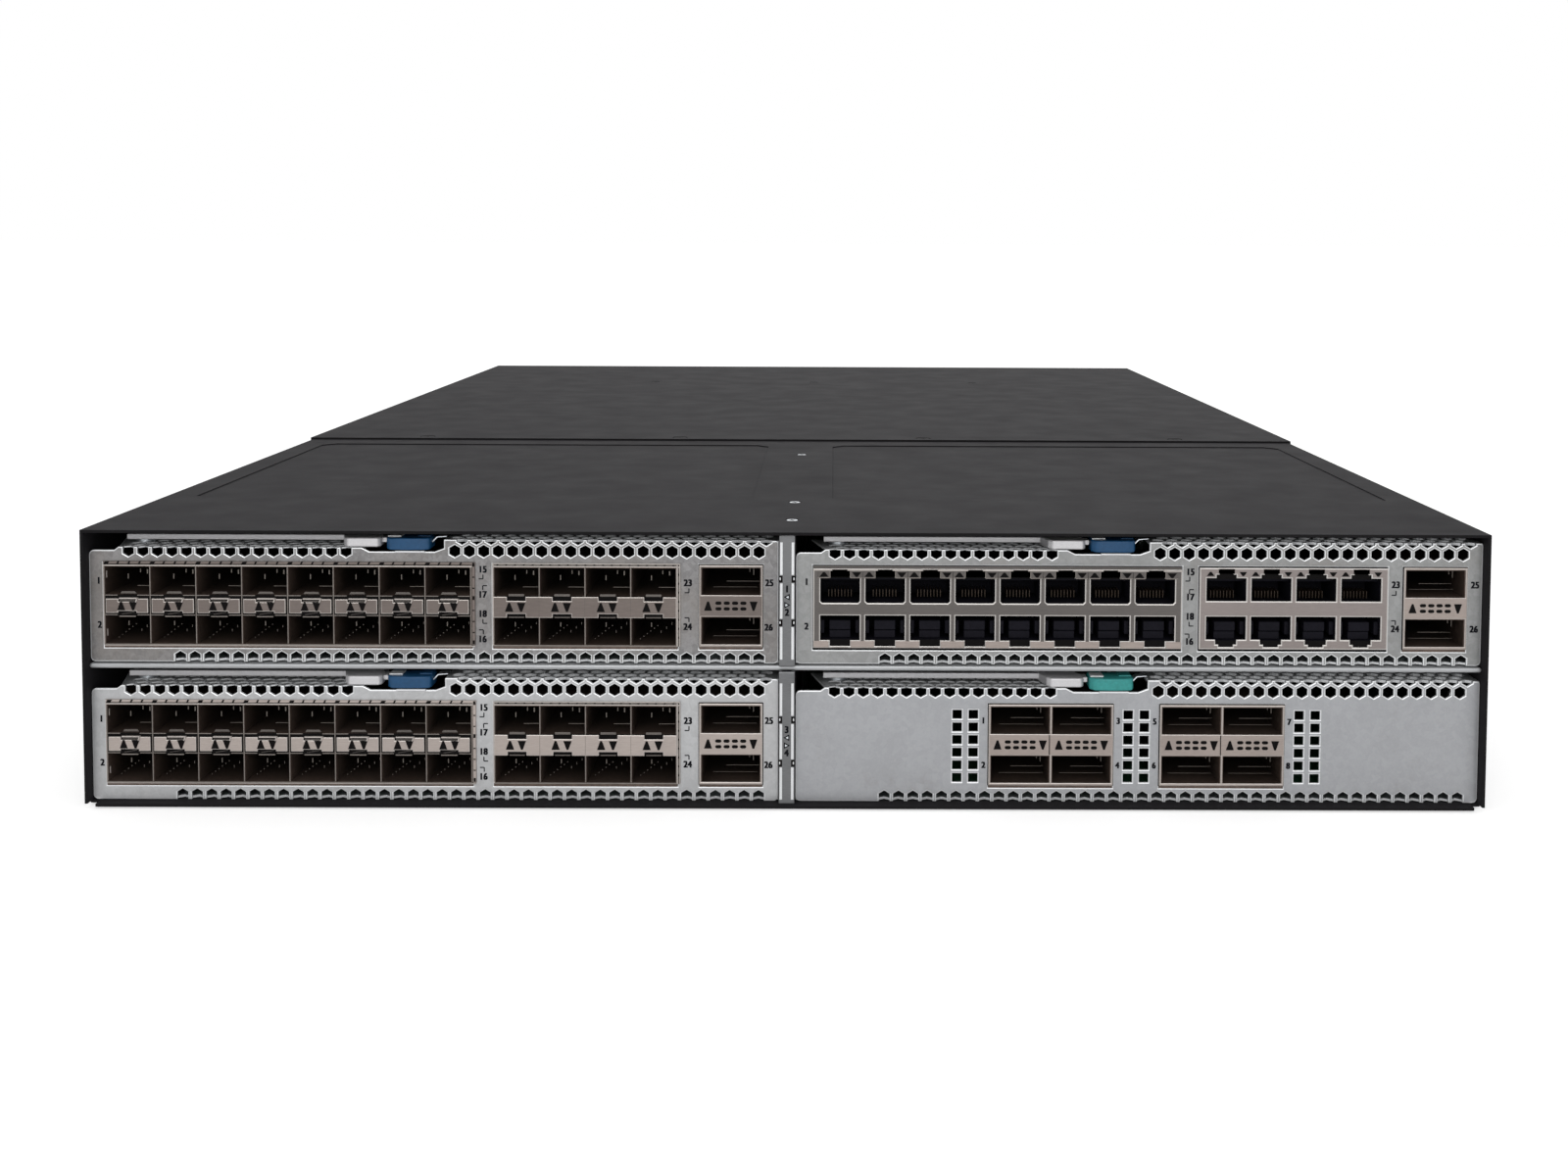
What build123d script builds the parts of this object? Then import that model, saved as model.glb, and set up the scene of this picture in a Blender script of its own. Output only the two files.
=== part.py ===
from build123d import *
from math import cos, pi, sin
import os

os.makedirs("parts", exist_ok=True)

# Frame: X to the right seen from the port side, Y from the ports to the rear, Z up.
# The origin is the middle of the underside.

# Chassis
chassis_width = 440.0
chassis_depth = 660.0
chassis_height = 88.1
front_section_depth = 235.0
cover_overlap = 15.0
pan_sheet = 1.0
front_sheet = 0.9
rear_sheet = 0.8
pan_notch_width = 3.2
pan_notch_depth = 4.0
running_gap = 0.3
seat_gap = 0.4

# Places that follow from the chassis
port_face = -chassis_depth / 2
rear_face = chassis_depth / 2
cover_edge = port_face + front_section_depth
front_half_width = chassis_width / 2 - rear_sheet
bay_half_width = front_half_width - front_sheet
front_top = chassis_height - rear_sheet
bay_roof = front_top - front_sheet

# Stiffening panels pressed into the front cover
panel_inner_x = 14.0
panel_outer_x = 209.0
panel_front = 65.0
panel_back = 220.0
panel_depth = 0.4
panel_corner = 5.0

# Hole for the rack bracket in each side
bracket_setback = 30.0
bracket_height = 28.0
bracket_hole_radius = 2.1

# Slots for the port modules
shelf_thickness = 1.5
shelf_setback = 3.0
shelf_base = 43.2
column_width = 4.9
column_setback = 1.5
column_sheet = 0.9
slot_depth = 238.0

# Port modules
module_side_gap = 0.2
module_height = 38.8
shoulder_height = 35.2
shoulder_width = 108.2
shoulder_corner = 1.5
strip_height = 36.2
strip_left = 9.2
strip_right = 85.0
strip_rise = 1.4
face_setback = 4.0
face_sheet = 1.0
flange_depth = 18.0
socket_length = 3.7

module_width = bay_half_width - module_side_gap - column_width / 2 - running_gap
module_face = port_face + face_setback
module_length = slot_depth - face_setback - running_gap - socket_length
row_bases = (pan_sheet + running_gap, shelf_base + shelf_thickness + seat_gap)
column_lefts = (-bay_half_width + module_side_gap, column_width / 2 + running_gap)

# Honeycomb along the edges of each faceplate
hex_radius = 2.0
hex_pitch = 4.53
hex_row_height = 35.25
full_hex_first = 114.1
hex_width = 3.46
bottom_notch_height = 2.7
bottom_margin = 6.15
full_hex_margin = 5.5
bottom_clear = 26.5

# Carrier tray, circuit board and the plugs at its rear
tray_sheet = 0.8
tray_side_height = 12.0
standoff = 2.1
rail_width = 6.0
rail_inset = 40.0
board_thickness = 1.6
board_margin = 2.0
board_front_gap = 1.0
plug_width = 64.0
plug_length = 14.0
plug_height = 16.0
heat_sink_width = 58.0
heat_sink_length = 60.0
heat_sink_height = 16.0

board_base = tray_sheet + standoff
board_top = board_base + board_thickness

# Port cages
cage_proud = 0.3
window_gap = 0.1
wall = 0.5
cage_roof = 31.2
small_pitch = 14.3
small_depth = 46.0
small_pocket = 44.0
small_lower = (5.8, 14.5)
small_upper = (21.2, 30.1)
jack_pitch = 14.1
jack_width = 12.7
jack_side = 1.4
jack_depth = 30.0
jack_pocket = 16.0
jack_lower = (7.9, 15.8)
jack_upper = (19.5, 27.4)
quad_pitch = 19.3
quad_depth = 60.0
quad_pocket = 56.0
quad_lower = (5.9, 14.7)
quad_upper = (21.6, 30.3)

# Room round the cages of a module
small_left_margin = 4.5
jack_left_margin = 5.35
right_margin = 4.95
small_quad_gap = 6.9
jack_quad_gap = 5.05
block_gap = 5.3
second_block_share = 0.34
quad_pair_left_share = 0.28233
quad_pair_columns = 2
vent_columns = 2

# Square vents of the module with paired quad cages
vent_width = 3.0
vent_height = 2.9
vent_rows = 6
vent_row_pitch = 4.04
vent_first_height = 7.6
vent_column_pitch = 5.1
vent_gap = 3.35

# Ejector lever and its latch button, from the left edge and the face of the module
pivot_x = 13.0
pivot_y = 12.0
pivot_radius = 2.0
pivot_fit = 0.05
pivot_block_half_width = 3.4
hub_radius = 4.5
arm_base = 37.1
arm_thickness = 1.5
arm_front = 8.0
arm_back = 16.0
grip_left = 78.9
grip_right = 89.2
grip_front = 0.5
grip_base = 36.3
grip_top = 39.4
neck_right = 92.2
neck_front = 1.5
neck_back = 8.0
neck_base = 36.9
neck_top = 38.9
button_left = 92.5
button_right = 106.4
button_front = -0.5
button_back = 8.0
button_base = 35.5
button_top = 39.7
button_bevel = 1.0

# Rear bays
bay_face_setback = 4.0
partition = 1.0
partition_length = 230.0
fan_tray_width = 96.0
fan_tray_length = 50.0
fan_plate = 2.0
fan_bore_radius = 38.0
fan_bore_sides = 24
grille_slot_count = 5
grille_slot_width = 10.0
grille_slot_pitch = 13.0
grille_slot_length_shares = (0.5, 0.84, 0.3, 0.84, 0.5)
rotor_radius = 36.5
rotor_hub_radius = 16.0
rotor_length = 22.0
blade_count = 5
hub_sides = 10
blade_thickness = 1.6
blade_angle = 35.0
blade_chord_share = 0.8
supply_width = 50.5
supply_height = 40.0
supply_length = 190.0
supply_gap = 0.8
inlet_width = 27.0
inlet_height = 19.5
inlet_depth = 15.0
inlet_left = 4.0
inlet_base = 5.0
inlet_corner = 4.0
pull_width = 3.0
pull_height = 24.0
pull_reach = 4.0
latch_width = 9.0
latch_height = 6.0
latch_reach = 3.0
latch_margin = 0.8

bay_face = rear_face - bay_face_setback
bay_floor = pan_sheet + partition


def facing_ports(x, y, z):
    """Plane seen from the port side: its x is X, its y is Z, and a negative extrusion runs to the rear."""
    return Plane(origin=(x, y, z), x_dir=(1, 0, 0), z_dir=(0, -1, 0))


def facing_rear(x, y, z):
    """Plane seen from the rear: its x is -X, its y is Z, and a negative extrusion runs to the ports."""
    return Plane(origin=(x, y, z), x_dir=(-1, 0, 0), z_dir=(0, 1, 0))


def save(part, name):
    part.label = name
    export_step(part, "parts/" + name + ".step")


def span(low, high, base, top):
    """Rectangle of the current sketch from two corners."""
    with Locations(((low + high) / 2, (base + top) / 2)):
        return Rectangle(high - low, top - base)


def cut_span(low, high, base, top):
    """Rectangular hole of the current sketch from two corners."""
    with Locations(((low + high) / 2, (base + top) / 2)):
        return Rectangle(high - low, top - base, mode=Mode.SUBTRACT)


# Base pan: one flat sheet that everything stands on, with notched front corners
with BuildPart() as base_pan:
    with BuildSketch(Plane.XY):
        Rectangle(2 * front_half_width, chassis_depth)
        with Locations((-front_half_width, port_face), (front_half_width, port_face)):
            Rectangle(2 * pan_notch_width, 2 * pan_notch_depth, mode=Mode.SUBTRACT)
    extrude(amount=pan_sheet)
save(base_pan.part, "base_pan")

# Front cover: roof and sides in one fold, with pressed panels
front_cover_length = front_section_depth + cover_overlap
with BuildPart() as front_cover:
    with BuildSketch(facing_ports(0, port_face, 0)):
        span(-front_half_width, front_half_width, pan_sheet, front_top)
        cut_span(-bay_half_width, bay_half_width, pan_sheet, bay_roof)
    extrude(amount=-front_cover_length)
    with BuildSketch(Plane.XY.offset(front_top)):
        panel_middle = (panel_inner_x + panel_outer_x) / 2
        panel_length = panel_back - panel_front
        with Locations(
            (-panel_middle, port_face + (panel_front + panel_back) / 2),
            (panel_middle, port_face + (panel_front + panel_back) / 2),
        ):
            panel = Rectangle(panel_outer_x - panel_inner_x, panel_length)
        chamfer(panel.vertices(), panel_corner)
    extrude(amount=-panel_depth, mode=Mode.SUBTRACT)
    with BuildSketch(Plane.YZ):
        with Locations((port_face + bracket_setback, bracket_height)):
            Circle(bracket_hole_radius)
    extrude(amount=chassis_width, both=True, mode=Mode.SUBTRACT)
save(front_cover.part, "front_cover")

# Rear cover: laps over the front cover and wraps the pan's edges
with BuildPart() as rear_cover:
    with BuildSketch(facing_ports(0, cover_edge, 0)):
        span(-chassis_width / 2, chassis_width / 2, 0, chassis_height)
        cut_span(-front_half_width, front_half_width, 0, front_top)
    extrude(amount=-(chassis_depth - front_section_depth))
save(rear_cover.part, "rear_cover")

# Shelf between the two rows of slots
with BuildPart() as slot_shelf:
    with BuildSketch(facing_ports(0, port_face + shelf_setback, shelf_base)):
        span(-bay_half_width, bay_half_width, 0, shelf_thickness)
    extrude(amount=-(slot_depth - shelf_setback))
save(slot_shelf.part, "slot_shelf")


def make_column(name, base, top):
    """Folded channel between two slots, closed towards the ports."""
    half = column_width / 2
    with BuildPart() as column:
        with BuildSketch(Plane.XY.offset(base)):
            span(-half, half, port_face + column_setback, port_face + slot_depth)
            cut_span(
                -half + column_sheet,
                half - column_sheet,
                port_face + column_setback + column_sheet,
                port_face + slot_depth,
            )
        extrude(amount=top - base)
    save(column.part, name)


make_column("lower_column", pan_sheet, shelf_base)
make_column("upper_column", shelf_base + shelf_thickness, bay_roof)

# Backplane board across the slots, and its sockets in front of the modules' plugs
backplane_thickness = 2.4
backplane_side_margin = 13.3
backplane_half_width = bay_half_width - backplane_side_margin
backplane_face = port_face + slot_depth
with BuildPart() as backplane:
    with BuildSketch(facing_ports(0, backplane_face, 0)):
        span(-backplane_half_width, backplane_half_width, pan_sheet, bay_roof)
    extrude(amount=-backplane_thickness)
save(backplane.part, "backplane")

socket_face = module_face + module_length + running_gap
with BuildPart() as backplane_sockets:
    for left in column_lefts:
        for base in row_bases:
            with BuildSketch(facing_ports(left + module_width / 2, socket_face, base)):
                span(-plug_width / 2, plug_width / 2, board_top, board_top + plug_height)
            extrude(amount=-(backplane_face - socket_face))
save(backplane_sockets.part, "backplane_sockets")


def faceplate_outline():
    """Corners of the faceplate: a low shoulder with a raised strip under the lever, then the full height."""
    return [
        (0, 0),
        (module_width, 0),
        (module_width, module_height),
        (shoulder_width, module_height),
        (shoulder_width, shoulder_height),
        (strip_right + strip_rise, shoulder_height),
        (strip_right, strip_height),
        (strip_left, strip_height),
        (strip_left - strip_rise, shoulder_height),
        (shoulder_corner, shoulder_height),
        (0, shoulder_height - shoulder_corner),
    ]


def make_faceplate(name, left, base, windows, vents):
    """Faceplate with top flanges, honeycomb edges, port windows and the lever's pivot pin."""
    last_x = module_width - bottom_margin
    full_count = int((module_width - full_hex_margin - full_hex_first) / hex_pitch) + 1
    bottom_count = int((last_x - bottom_clear) / hex_pitch) + 1
    full = [(full_hex_first + hex_pitch * i, hex_row_height) for i in range(full_count)]
    bottom = [(last_x - hex_pitch * i, 0) for i in range(bottom_count)]
    with BuildPart() as plate:
        with BuildSketch(facing_ports(left, module_face, base)):
            with BuildLine():
                Polyline(*faceplate_outline(), close=True)
            make_face()
            with Locations(*full):
                RegularPolygon(hex_radius, 6, rotation=30, mode=Mode.SUBTRACT)
            with Locations(*bottom):
                Rectangle(hex_width, 2 * bottom_notch_height, mode=Mode.SUBTRACT)
            for low, high, bottom_edge, top_edge in windows:
                cut_span(low, high, bottom_edge, top_edge)
            if vents:
                with Locations(*vents):
                    Rectangle(vent_width, vent_height, mode=Mode.SUBTRACT)
        extrude(amount=-face_sheet)
        with BuildSketch(facing_ports(left, module_face + face_sheet, base)):
            span(shoulder_width, module_width, module_height - face_sheet, module_height)
            span(strip_left, strip_right, strip_height - face_sheet, strip_height)
            strip_end = strip_right - face_sheet
            span(strip_end, shoulder_width, shoulder_height - face_sheet, shoulder_height)
        extrude(amount=-flange_depth)
        with BuildSketch(Plane.XY.offset(base + strip_height)):
            with Locations((left + pivot_x, module_face + pivot_y)):
                Rectangle(2 * pivot_block_half_width, 2 * pivot_block_half_width)
        extrude(amount=arm_base - strip_height)
        with BuildSketch(Plane.XY.offset(base + arm_base)):
            with Locations((left + pivot_x, module_face + pivot_y)):
                Circle(pivot_radius)
        extrude(amount=arm_thickness)
    save(plate.part, name)


def make_tray(name, left, base):
    """Carrier tray behind the faceplate, with sides that run in the slot."""
    with BuildPart() as tray:
        with BuildSketch(facing_ports(left, module_face + face_sheet, base)):
            span(0, module_width, 0, tray_side_height)
            cut_span(tray_sheet, module_width - tray_sheet, tray_sheet, tray_side_height)
        extrude(amount=-(module_length - face_sheet))
        with BuildSketch(Plane.XY.offset(base + tray_sheet)):
            with Locations((left + module_width / 2, module_face + module_length / 2)):
                with GridLocations(module_width - rail_inset, 0, 2, 1):
                    Rectangle(rail_width, module_length - rail_inset)
        extrude(amount=standoff)
    save(tray.part, name)


def make_board(name, left, base):
    """Circuit board with its soldered plug at the rear and its heat sink."""
    middle = left + module_width / 2
    back = module_face + module_length
    front = module_face + face_sheet + board_front_gap
    sink_centre = back - plug_length - heat_sink_length
    with BuildPart() as board:
        with BuildSketch(facing_ports(left, front, base)):
            span(board_margin, module_width - board_margin, board_base, board_top)
        extrude(amount=-(back - board_margin - front))
        with BuildSketch(facing_ports(middle, back, base)):
            span(-plug_width / 2, plug_width / 2, board_top, board_top + plug_height)
        extrude(amount=plug_length)
        with BuildSketch(facing_ports(middle, sink_centre, base + board_top)):
            span(-heat_sink_width / 2, heat_sink_width / 2, 0, heat_sink_height)
        extrude(amount=heat_sink_length / 2, both=True)
    save(board.part, name)


def make_cage(name, left, base, first, columns, pitch, side, depth, pocket, rows, mouth):
    """Cage of stacked ports. The side is its metal beyond the columns, the mouth each opening's width."""
    width = columns * pitch + 2 * side
    front = module_face - cage_proud
    with BuildPart() as cage:
        with BuildSketch(facing_ports(left + first, front, base)):
            span(0, width, board_top, cage_roof)
        extrude(amount=-depth)
        with BuildSketch(facing_ports(left + first, front, base)):
            for column in range(columns):
                centre = side + pitch * (column + 0.5)
                for low, high in rows:
                    span(centre - mouth / 2, centre + mouth / 2, low, high)
        extrude(amount=-pocket, mode=Mode.SUBTRACT)
    save(cage.part, name)


def make_small_cage(name, left, base, first, columns):
    rows = (small_lower, small_upper)
    mouth = small_pitch - wall
    make_cage(name, left, base, first, columns, small_pitch, wall / 2, small_depth, small_pocket, rows, mouth)


def make_jack_cage(name, left, base, first, columns):
    rows = (jack_lower, jack_upper)
    mouth = jack_width
    make_cage(name, left, base, first, columns, jack_pitch, jack_side, jack_depth, jack_pocket, rows, mouth)


def make_quad_cage(name, left, base, first, columns):
    rows = (quad_lower, quad_upper)
    mouth = quad_pitch - 2 * wall
    make_cage(name, left, base, first, columns, quad_pitch, wall / 2, quad_depth, quad_pocket, rows, mouth)


def cage_window(first, columns, pitch, side=wall / 2):
    """Window of the faceplate round a cage."""
    return (
        first - window_gap,
        first + columns * pitch + 2 * side + window_gap,
        board_top - window_gap,
        cage_roof + window_gap,
    )


def make_lever(name, left, base):
    """Ejector lever: flat arm with its bored hub, a thick grip and a short neck."""
    with BuildPart() as lever:
        with BuildSketch(Plane.XY.offset(base + arm_base)):
            hub_left = left + pivot_x - hub_radius
            span(hub_left, left + grip_right, module_face + arm_front, module_face + arm_back)
            with Locations((left + pivot_x, module_face + pivot_y)):
                Circle(pivot_radius + pivot_fit, mode=Mode.SUBTRACT)
        extrude(amount=arm_thickness)
        with BuildSketch(Plane.XY.offset(base + grip_base)):
            grip_back = module_face + arm_back
            span(left + grip_left, left + grip_right, module_face + grip_front, grip_back)
        extrude(amount=grip_top - grip_base)
        with BuildSketch(Plane.XY.offset(base + neck_base)):
            span(left + grip_right, left + neck_right, module_face + neck_front, module_face + neck_back)
        extrude(amount=neck_top - neck_base)
    save(lever.part, name)


def make_button(name, left, base):
    """Latch button beside the lever's neck."""
    with BuildPart() as button:
        with BuildSketch(Plane.XY.offset(base + button_base)):
            body = span(
                left + button_left, left + button_right, module_face + button_front, module_face + button_back
            )
            chamfer(body.vertices(), button_bevel)
        extrude(amount=button_top - button_base)
    save(button.part, name)


def make_module_carrier(number, left, base, windows, vents):
    """The pieces that every module has."""
    name = "module_" + str(number)
    make_faceplate(name + "_faceplate", left, base, windows, vents)
    make_tray(name + "_tray", left, base)
    make_board(name + "_board", left, base)
    make_lever(name + "_lever", left, base)
    make_button(name + "_latch", left, base)


# Blocks of ports, laid out from the right edge of the module
quad_block = module_width - right_margin - quad_pitch - wall


def lay_blocks(margin, pitch, side, quad_gap):
    """First block's left edge and columns, and the second block's, as many as fit beside the quad block."""
    room = quad_block - quad_gap - block_gap - margin - 4 * side
    columns = int(room / pitch)
    second_columns = int(columns * second_block_share)
    second = quad_block - quad_gap - second_columns * pitch - 2 * side
    return (margin, columns - second_columns), (second, second_columns)


# Modules 1 and 3: small pluggable ports in two blocks and a pair of quad ports
small_blocks = lay_blocks(small_left_margin, small_pitch, wall / 2, small_quad_gap)
(small_first, small_first_columns), (small_second, small_second_columns) = small_blocks
small_windows = (
    cage_window(small_first, small_first_columns, small_pitch),
    cage_window(small_second, small_second_columns, small_pitch),
    cage_window(quad_block, 1, quad_pitch),
)
for number, base in ((1, row_bases[1]), (3, row_bases[0])):
    left = column_lefts[0]
    make_module_carrier(number, left, base, small_windows, ())
    make_small_cage("module_" + str(number) + "_cage_a", left, base, small_first, small_first_columns)
    make_small_cage("module_" + str(number) + "_cage_b", left, base, small_second, small_second_columns)
    make_quad_cage("module_" + str(number) + "_quad_cage", left, base, quad_block, 1)

# Module 2: jacks in two blocks and a pair of quad ports
jack_blocks = lay_blocks(jack_left_margin, jack_pitch, jack_side, jack_quad_gap)
(jack_first, jack_first_columns), (jack_second, jack_second_columns) = jack_blocks
jack_windows = (
    cage_window(jack_first, jack_first_columns, jack_pitch, jack_side),
    cage_window(jack_second, jack_second_columns, jack_pitch, jack_side),
    cage_window(quad_block, 1, quad_pitch),
)
make_module_carrier(2, column_lefts[1], row_bases[1], jack_windows, ())
make_jack_cage("module_2_cage_a", column_lefts[1], row_bases[1], jack_first, jack_first_columns)
make_jack_cage("module_2_cage_b", column_lefts[1], row_bases[1], jack_second, jack_second_columns)
make_quad_cage("module_2_quad_cage", column_lefts[1], row_bases[1], quad_block, 1)

# Module 4: two double quad cages between columns of square vents
pair_width = quad_pair_columns * quad_pitch + wall
vent_group_width = vent_column_pitch * (vent_columns - 1) + vent_width
first_pair = module_width * quad_pair_left_share
second_vents = first_pair + pair_width + vent_gap
second_pair = second_vents + vent_group_width + vent_gap
vent_groups = (first_pair - vent_gap - vent_group_width, second_vents, second_pair + pair_width + vent_gap)
vent_places = [
    (first + vent_width / 2 + vent_column_pitch * column, vent_first_height + vent_row_pitch * row)
    for first in vent_groups
    for column in range(vent_columns)
    for row in range(vent_rows)
]
quad_windows = (
    cage_window(first_pair, quad_pair_columns, quad_pitch),
    cage_window(second_pair, quad_pair_columns, quad_pitch),
)
make_module_carrier(4, column_lefts[1], row_bases[0], quad_windows, vent_places)
make_quad_cage("module_4_cage_a", column_lefts[1], row_bases[0], first_pair, quad_pair_columns)
make_quad_cage("module_4_cage_b", column_lefts[1], row_bases[0], second_pair, quad_pair_columns)

# Rear bays, laid out from the left wall as seen from the ports
tray_lefts = (
    -front_half_width + seat_gap,
    -front_half_width + 3 * seat_gap + fan_tray_width + partition,
)
supply_bay_left = tray_lefts[1] + fan_tray_width + 2 * seat_gap + partition
supply_lefts = (supply_bay_left, supply_bay_left + supply_width + supply_gap)
panel_left = supply_lefts[1] + supply_width + 2 * seat_gap + partition
shelf_height = (bay_floor + bay_roof) / 2
supply_bases = (bay_floor + running_gap, shelf_height + partition / 2 + running_gap)

with BuildPart() as rear_bay_frame:
    frame_front = bay_face - partition_length
    with BuildSketch(facing_ports(0, frame_front, 0)):
        span(-front_half_width, front_half_width, pan_sheet, bay_floor)
        for edge in (tray_lefts[1], supply_lefts[0], panel_left):
            span(edge - seat_gap - partition, edge - seat_gap, pan_sheet, front_top)
        span(
            supply_lefts[0] - seat_gap,
            panel_left - seat_gap,
            shelf_height - partition / 2,
            shelf_height + partition / 2,
        )
    extrude(amount=-partition_length)
save(rear_bay_frame.part, "rear_bay_frame")

tray_height = front_top - bay_floor - 2 * running_gap
slot_middle = (grille_slot_count - 1) / 2


def make_fan_tray(number, left):
    """Fan tray: a moulded block with its many-sided bore behind a slotted grille, and the rotor in it."""
    name = "fan_tray_" + str(number)
    middle = left + fan_tray_width / 2
    centre_z = tray_height / 2
    base = bay_floor + running_gap
    with BuildPart() as body:
        with BuildSketch(facing_rear(middle, bay_face, base)):
            span(-fan_tray_width / 2, fan_tray_width / 2, 0, tray_height)
            for index in range(grille_slot_count):
                shift = (index - slot_middle) * grille_slot_pitch
                length = 2 * fan_bore_radius * grille_slot_length_shares[index]
                with Locations((shift, centre_z)):
                    Rectangle(grille_slot_width, length, mode=Mode.SUBTRACT)
        extrude(amount=-fan_plate)
        with BuildSketch(facing_rear(middle, bay_face - fan_plate, base)):
            span(-fan_tray_width / 2, fan_tray_width / 2, 0, tray_height)
            with Locations((0, centre_z)):
                RegularPolygon(fan_bore_radius, fan_bore_sides, mode=Mode.SUBTRACT)
        extrude(amount=-(fan_tray_length - fan_plate))
        with BuildSketch(facing_rear(middle, bay_face, base)):
            pull_x = fan_tray_width / 2 - pull_width
            span(pull_x - pull_width, pull_x, centre_z - pull_height / 2, centre_z + pull_height / 2)
        extrude(amount=pull_reach)
    save(body.part, name + "_body")
    make_rotor(name + "_rotor", middle, base + centre_z)
    latch_x = left + latch_width
    make_rear_latch(name + "_latch", latch_x, base + tray_height - 2 * latch_height)


def make_rotor(name, x, z):
    """Fan rotor: a hub with pitched blades."""
    hub_back = bay_face - fan_plate - running_gap
    blade_length = rotor_radius - rotor_hub_radius / 2
    with BuildPart() as rotor:
        with BuildSketch(facing_rear(x, hub_back, z)):
            RegularPolygon(rotor_hub_radius, hub_sides)
        extrude(amount=-rotor_length)
        for index in range(blade_count):
            turn = 2 * pi / blade_count * index
            outward = Vector(cos(turn), 0, sin(turn))
            middle = Vector(x, hub_back - rotor_length / 2, z)
            root = Plane(origin=middle + outward * (rotor_hub_radius / 2), x_dir=(0, 1, 0), z_dir=outward)
            with BuildSketch(root):
                Rectangle(rotor_length * blade_chord_share, blade_thickness, rotation=blade_angle)
            extrude(amount=blade_length)
    save(rotor.part, name)


def make_rear_latch(name, x, base):
    """Sprung latch tab that is pressed sideways to free a rear unit."""
    with BuildPart() as latch:
        with BuildSketch(facing_rear(x, bay_face + running_gap, base)):
            span(-latch_width / 2, latch_width / 2, 0, latch_height)
        extrude(amount=latch_reach)
    save(latch.part, name)


def make_supply(number, left, base):
    """Power supply: a sealed case with its inlet socket and pull tab."""
    name = "power_supply_" + str(number)
    right = left + supply_width
    with BuildPart() as case:
        with BuildSketch(facing_rear(right, bay_face, base)):
            span(0, supply_width, 0, supply_height)
        extrude(amount=-supply_length)
        with BuildSketch(facing_rear(right, bay_face, base)):
            inlet = span(inlet_left, inlet_left + inlet_width, inlet_base, inlet_base + inlet_height)
            chamfer(inlet.vertices().group_by(Axis.Z)[-1], inlet_corner)
        extrude(amount=-inlet_depth, mode=Mode.SUBTRACT)
        with BuildSketch(facing_rear(right, bay_face, base)):
            pull_x = inlet_left + inlet_width + 2 * pull_width
            middle_z = supply_height / 2
            span(pull_x, pull_x + pull_width, middle_z - pull_height / 2, middle_z + pull_height / 2)
        extrude(amount=pull_reach)
    save(case.part, name + "_case")
    make_rear_latch(name + "_latch", left + latch_width, base + supply_height - latch_height - latch_margin)


for number, left in ((1, tray_lefts[0]), (2, tray_lefts[1])):
    make_fan_tray(number, left)

supply_number = 1
for left in supply_lefts:
    for base in supply_bases:
        make_supply(supply_number, left, base)
        supply_number += 1

# Management panel beside the power supplies, with its jack block behind
port_panel_sheet = 1.2
port_jack_width = 12.0
port_jack_height = 9.0
port_jack_depth = 14.0
port_jack_pitch = 18.0
port_jack_count = 2
port_jack_base = 40.0
jack_block_margin = 3.0
jack_block_length = 18.0
panel_width = front_half_width - seat_gap - panel_left
port_row_middle = (panel_left + panel_width / 2, port_jack_base + port_jack_height / 2)
with BuildPart() as management_panel:
    with BuildSketch(facing_rear(port_row_middle[0], bay_face, 0)):
        span(-panel_width / 2, panel_width / 2, bay_floor, front_top)
        with Locations((0, port_row_middle[1])):
            with GridLocations(port_jack_pitch, 0, port_jack_count, 1):
                Rectangle(port_jack_width, port_jack_height, mode=Mode.SUBTRACT)
    extrude(amount=-port_panel_sheet)
save(management_panel.part, "management_panel")

with BuildPart() as management_jacks:
    with BuildSketch(facing_rear(port_row_middle[0], bay_face - port_panel_sheet, 0)):
        block_width = port_jack_pitch * port_jack_count + jack_block_margin
        with Locations((0, port_row_middle[1])):
            Rectangle(block_width, port_jack_height + 2 * jack_block_margin)
    extrude(amount=-jack_block_length)
    with BuildSketch(facing_rear(port_row_middle[0], bay_face - port_panel_sheet, 0)):
        with Locations((0, port_row_middle[1])):
            with GridLocations(port_jack_pitch, 0, port_jack_count, 1):
                Rectangle(port_jack_width, port_jack_height)
    extrude(amount=-port_jack_depth, mode=Mode.SUBTRACT)
save(management_jacks.part, "management_jacks")
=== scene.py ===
"""Looks of a modular chassis switch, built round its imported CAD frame.

Sizes are in millimetres in the CAD frame: X to the right seen from the ports,
Y from the ports to the rear, Z up, with the origin in the middle of the
underside. They turn into metres where a mesh is made.
"""

import logging
import math
from collections.abc import Callable, Iterable, Sequence
from dataclasses import dataclass
from enum import Enum

import bmesh
import bpy
from mathutils import Matrix, Vector


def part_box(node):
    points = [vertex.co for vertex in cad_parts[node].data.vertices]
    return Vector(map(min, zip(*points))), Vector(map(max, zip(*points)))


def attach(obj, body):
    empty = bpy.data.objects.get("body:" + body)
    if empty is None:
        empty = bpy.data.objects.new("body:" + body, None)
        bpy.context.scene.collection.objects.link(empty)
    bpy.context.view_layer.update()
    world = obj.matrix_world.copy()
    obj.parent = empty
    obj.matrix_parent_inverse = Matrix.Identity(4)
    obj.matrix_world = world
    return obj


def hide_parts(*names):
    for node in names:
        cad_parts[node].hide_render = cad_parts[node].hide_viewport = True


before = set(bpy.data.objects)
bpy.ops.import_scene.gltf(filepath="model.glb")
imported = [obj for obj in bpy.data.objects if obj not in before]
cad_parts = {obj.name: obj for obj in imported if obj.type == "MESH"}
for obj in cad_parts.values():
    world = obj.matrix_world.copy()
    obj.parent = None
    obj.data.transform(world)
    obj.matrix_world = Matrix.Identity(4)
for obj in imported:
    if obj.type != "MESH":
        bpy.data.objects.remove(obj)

LOG = logging.getLogger("switch")
MM = 0.001
WELD = 0.00001
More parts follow.
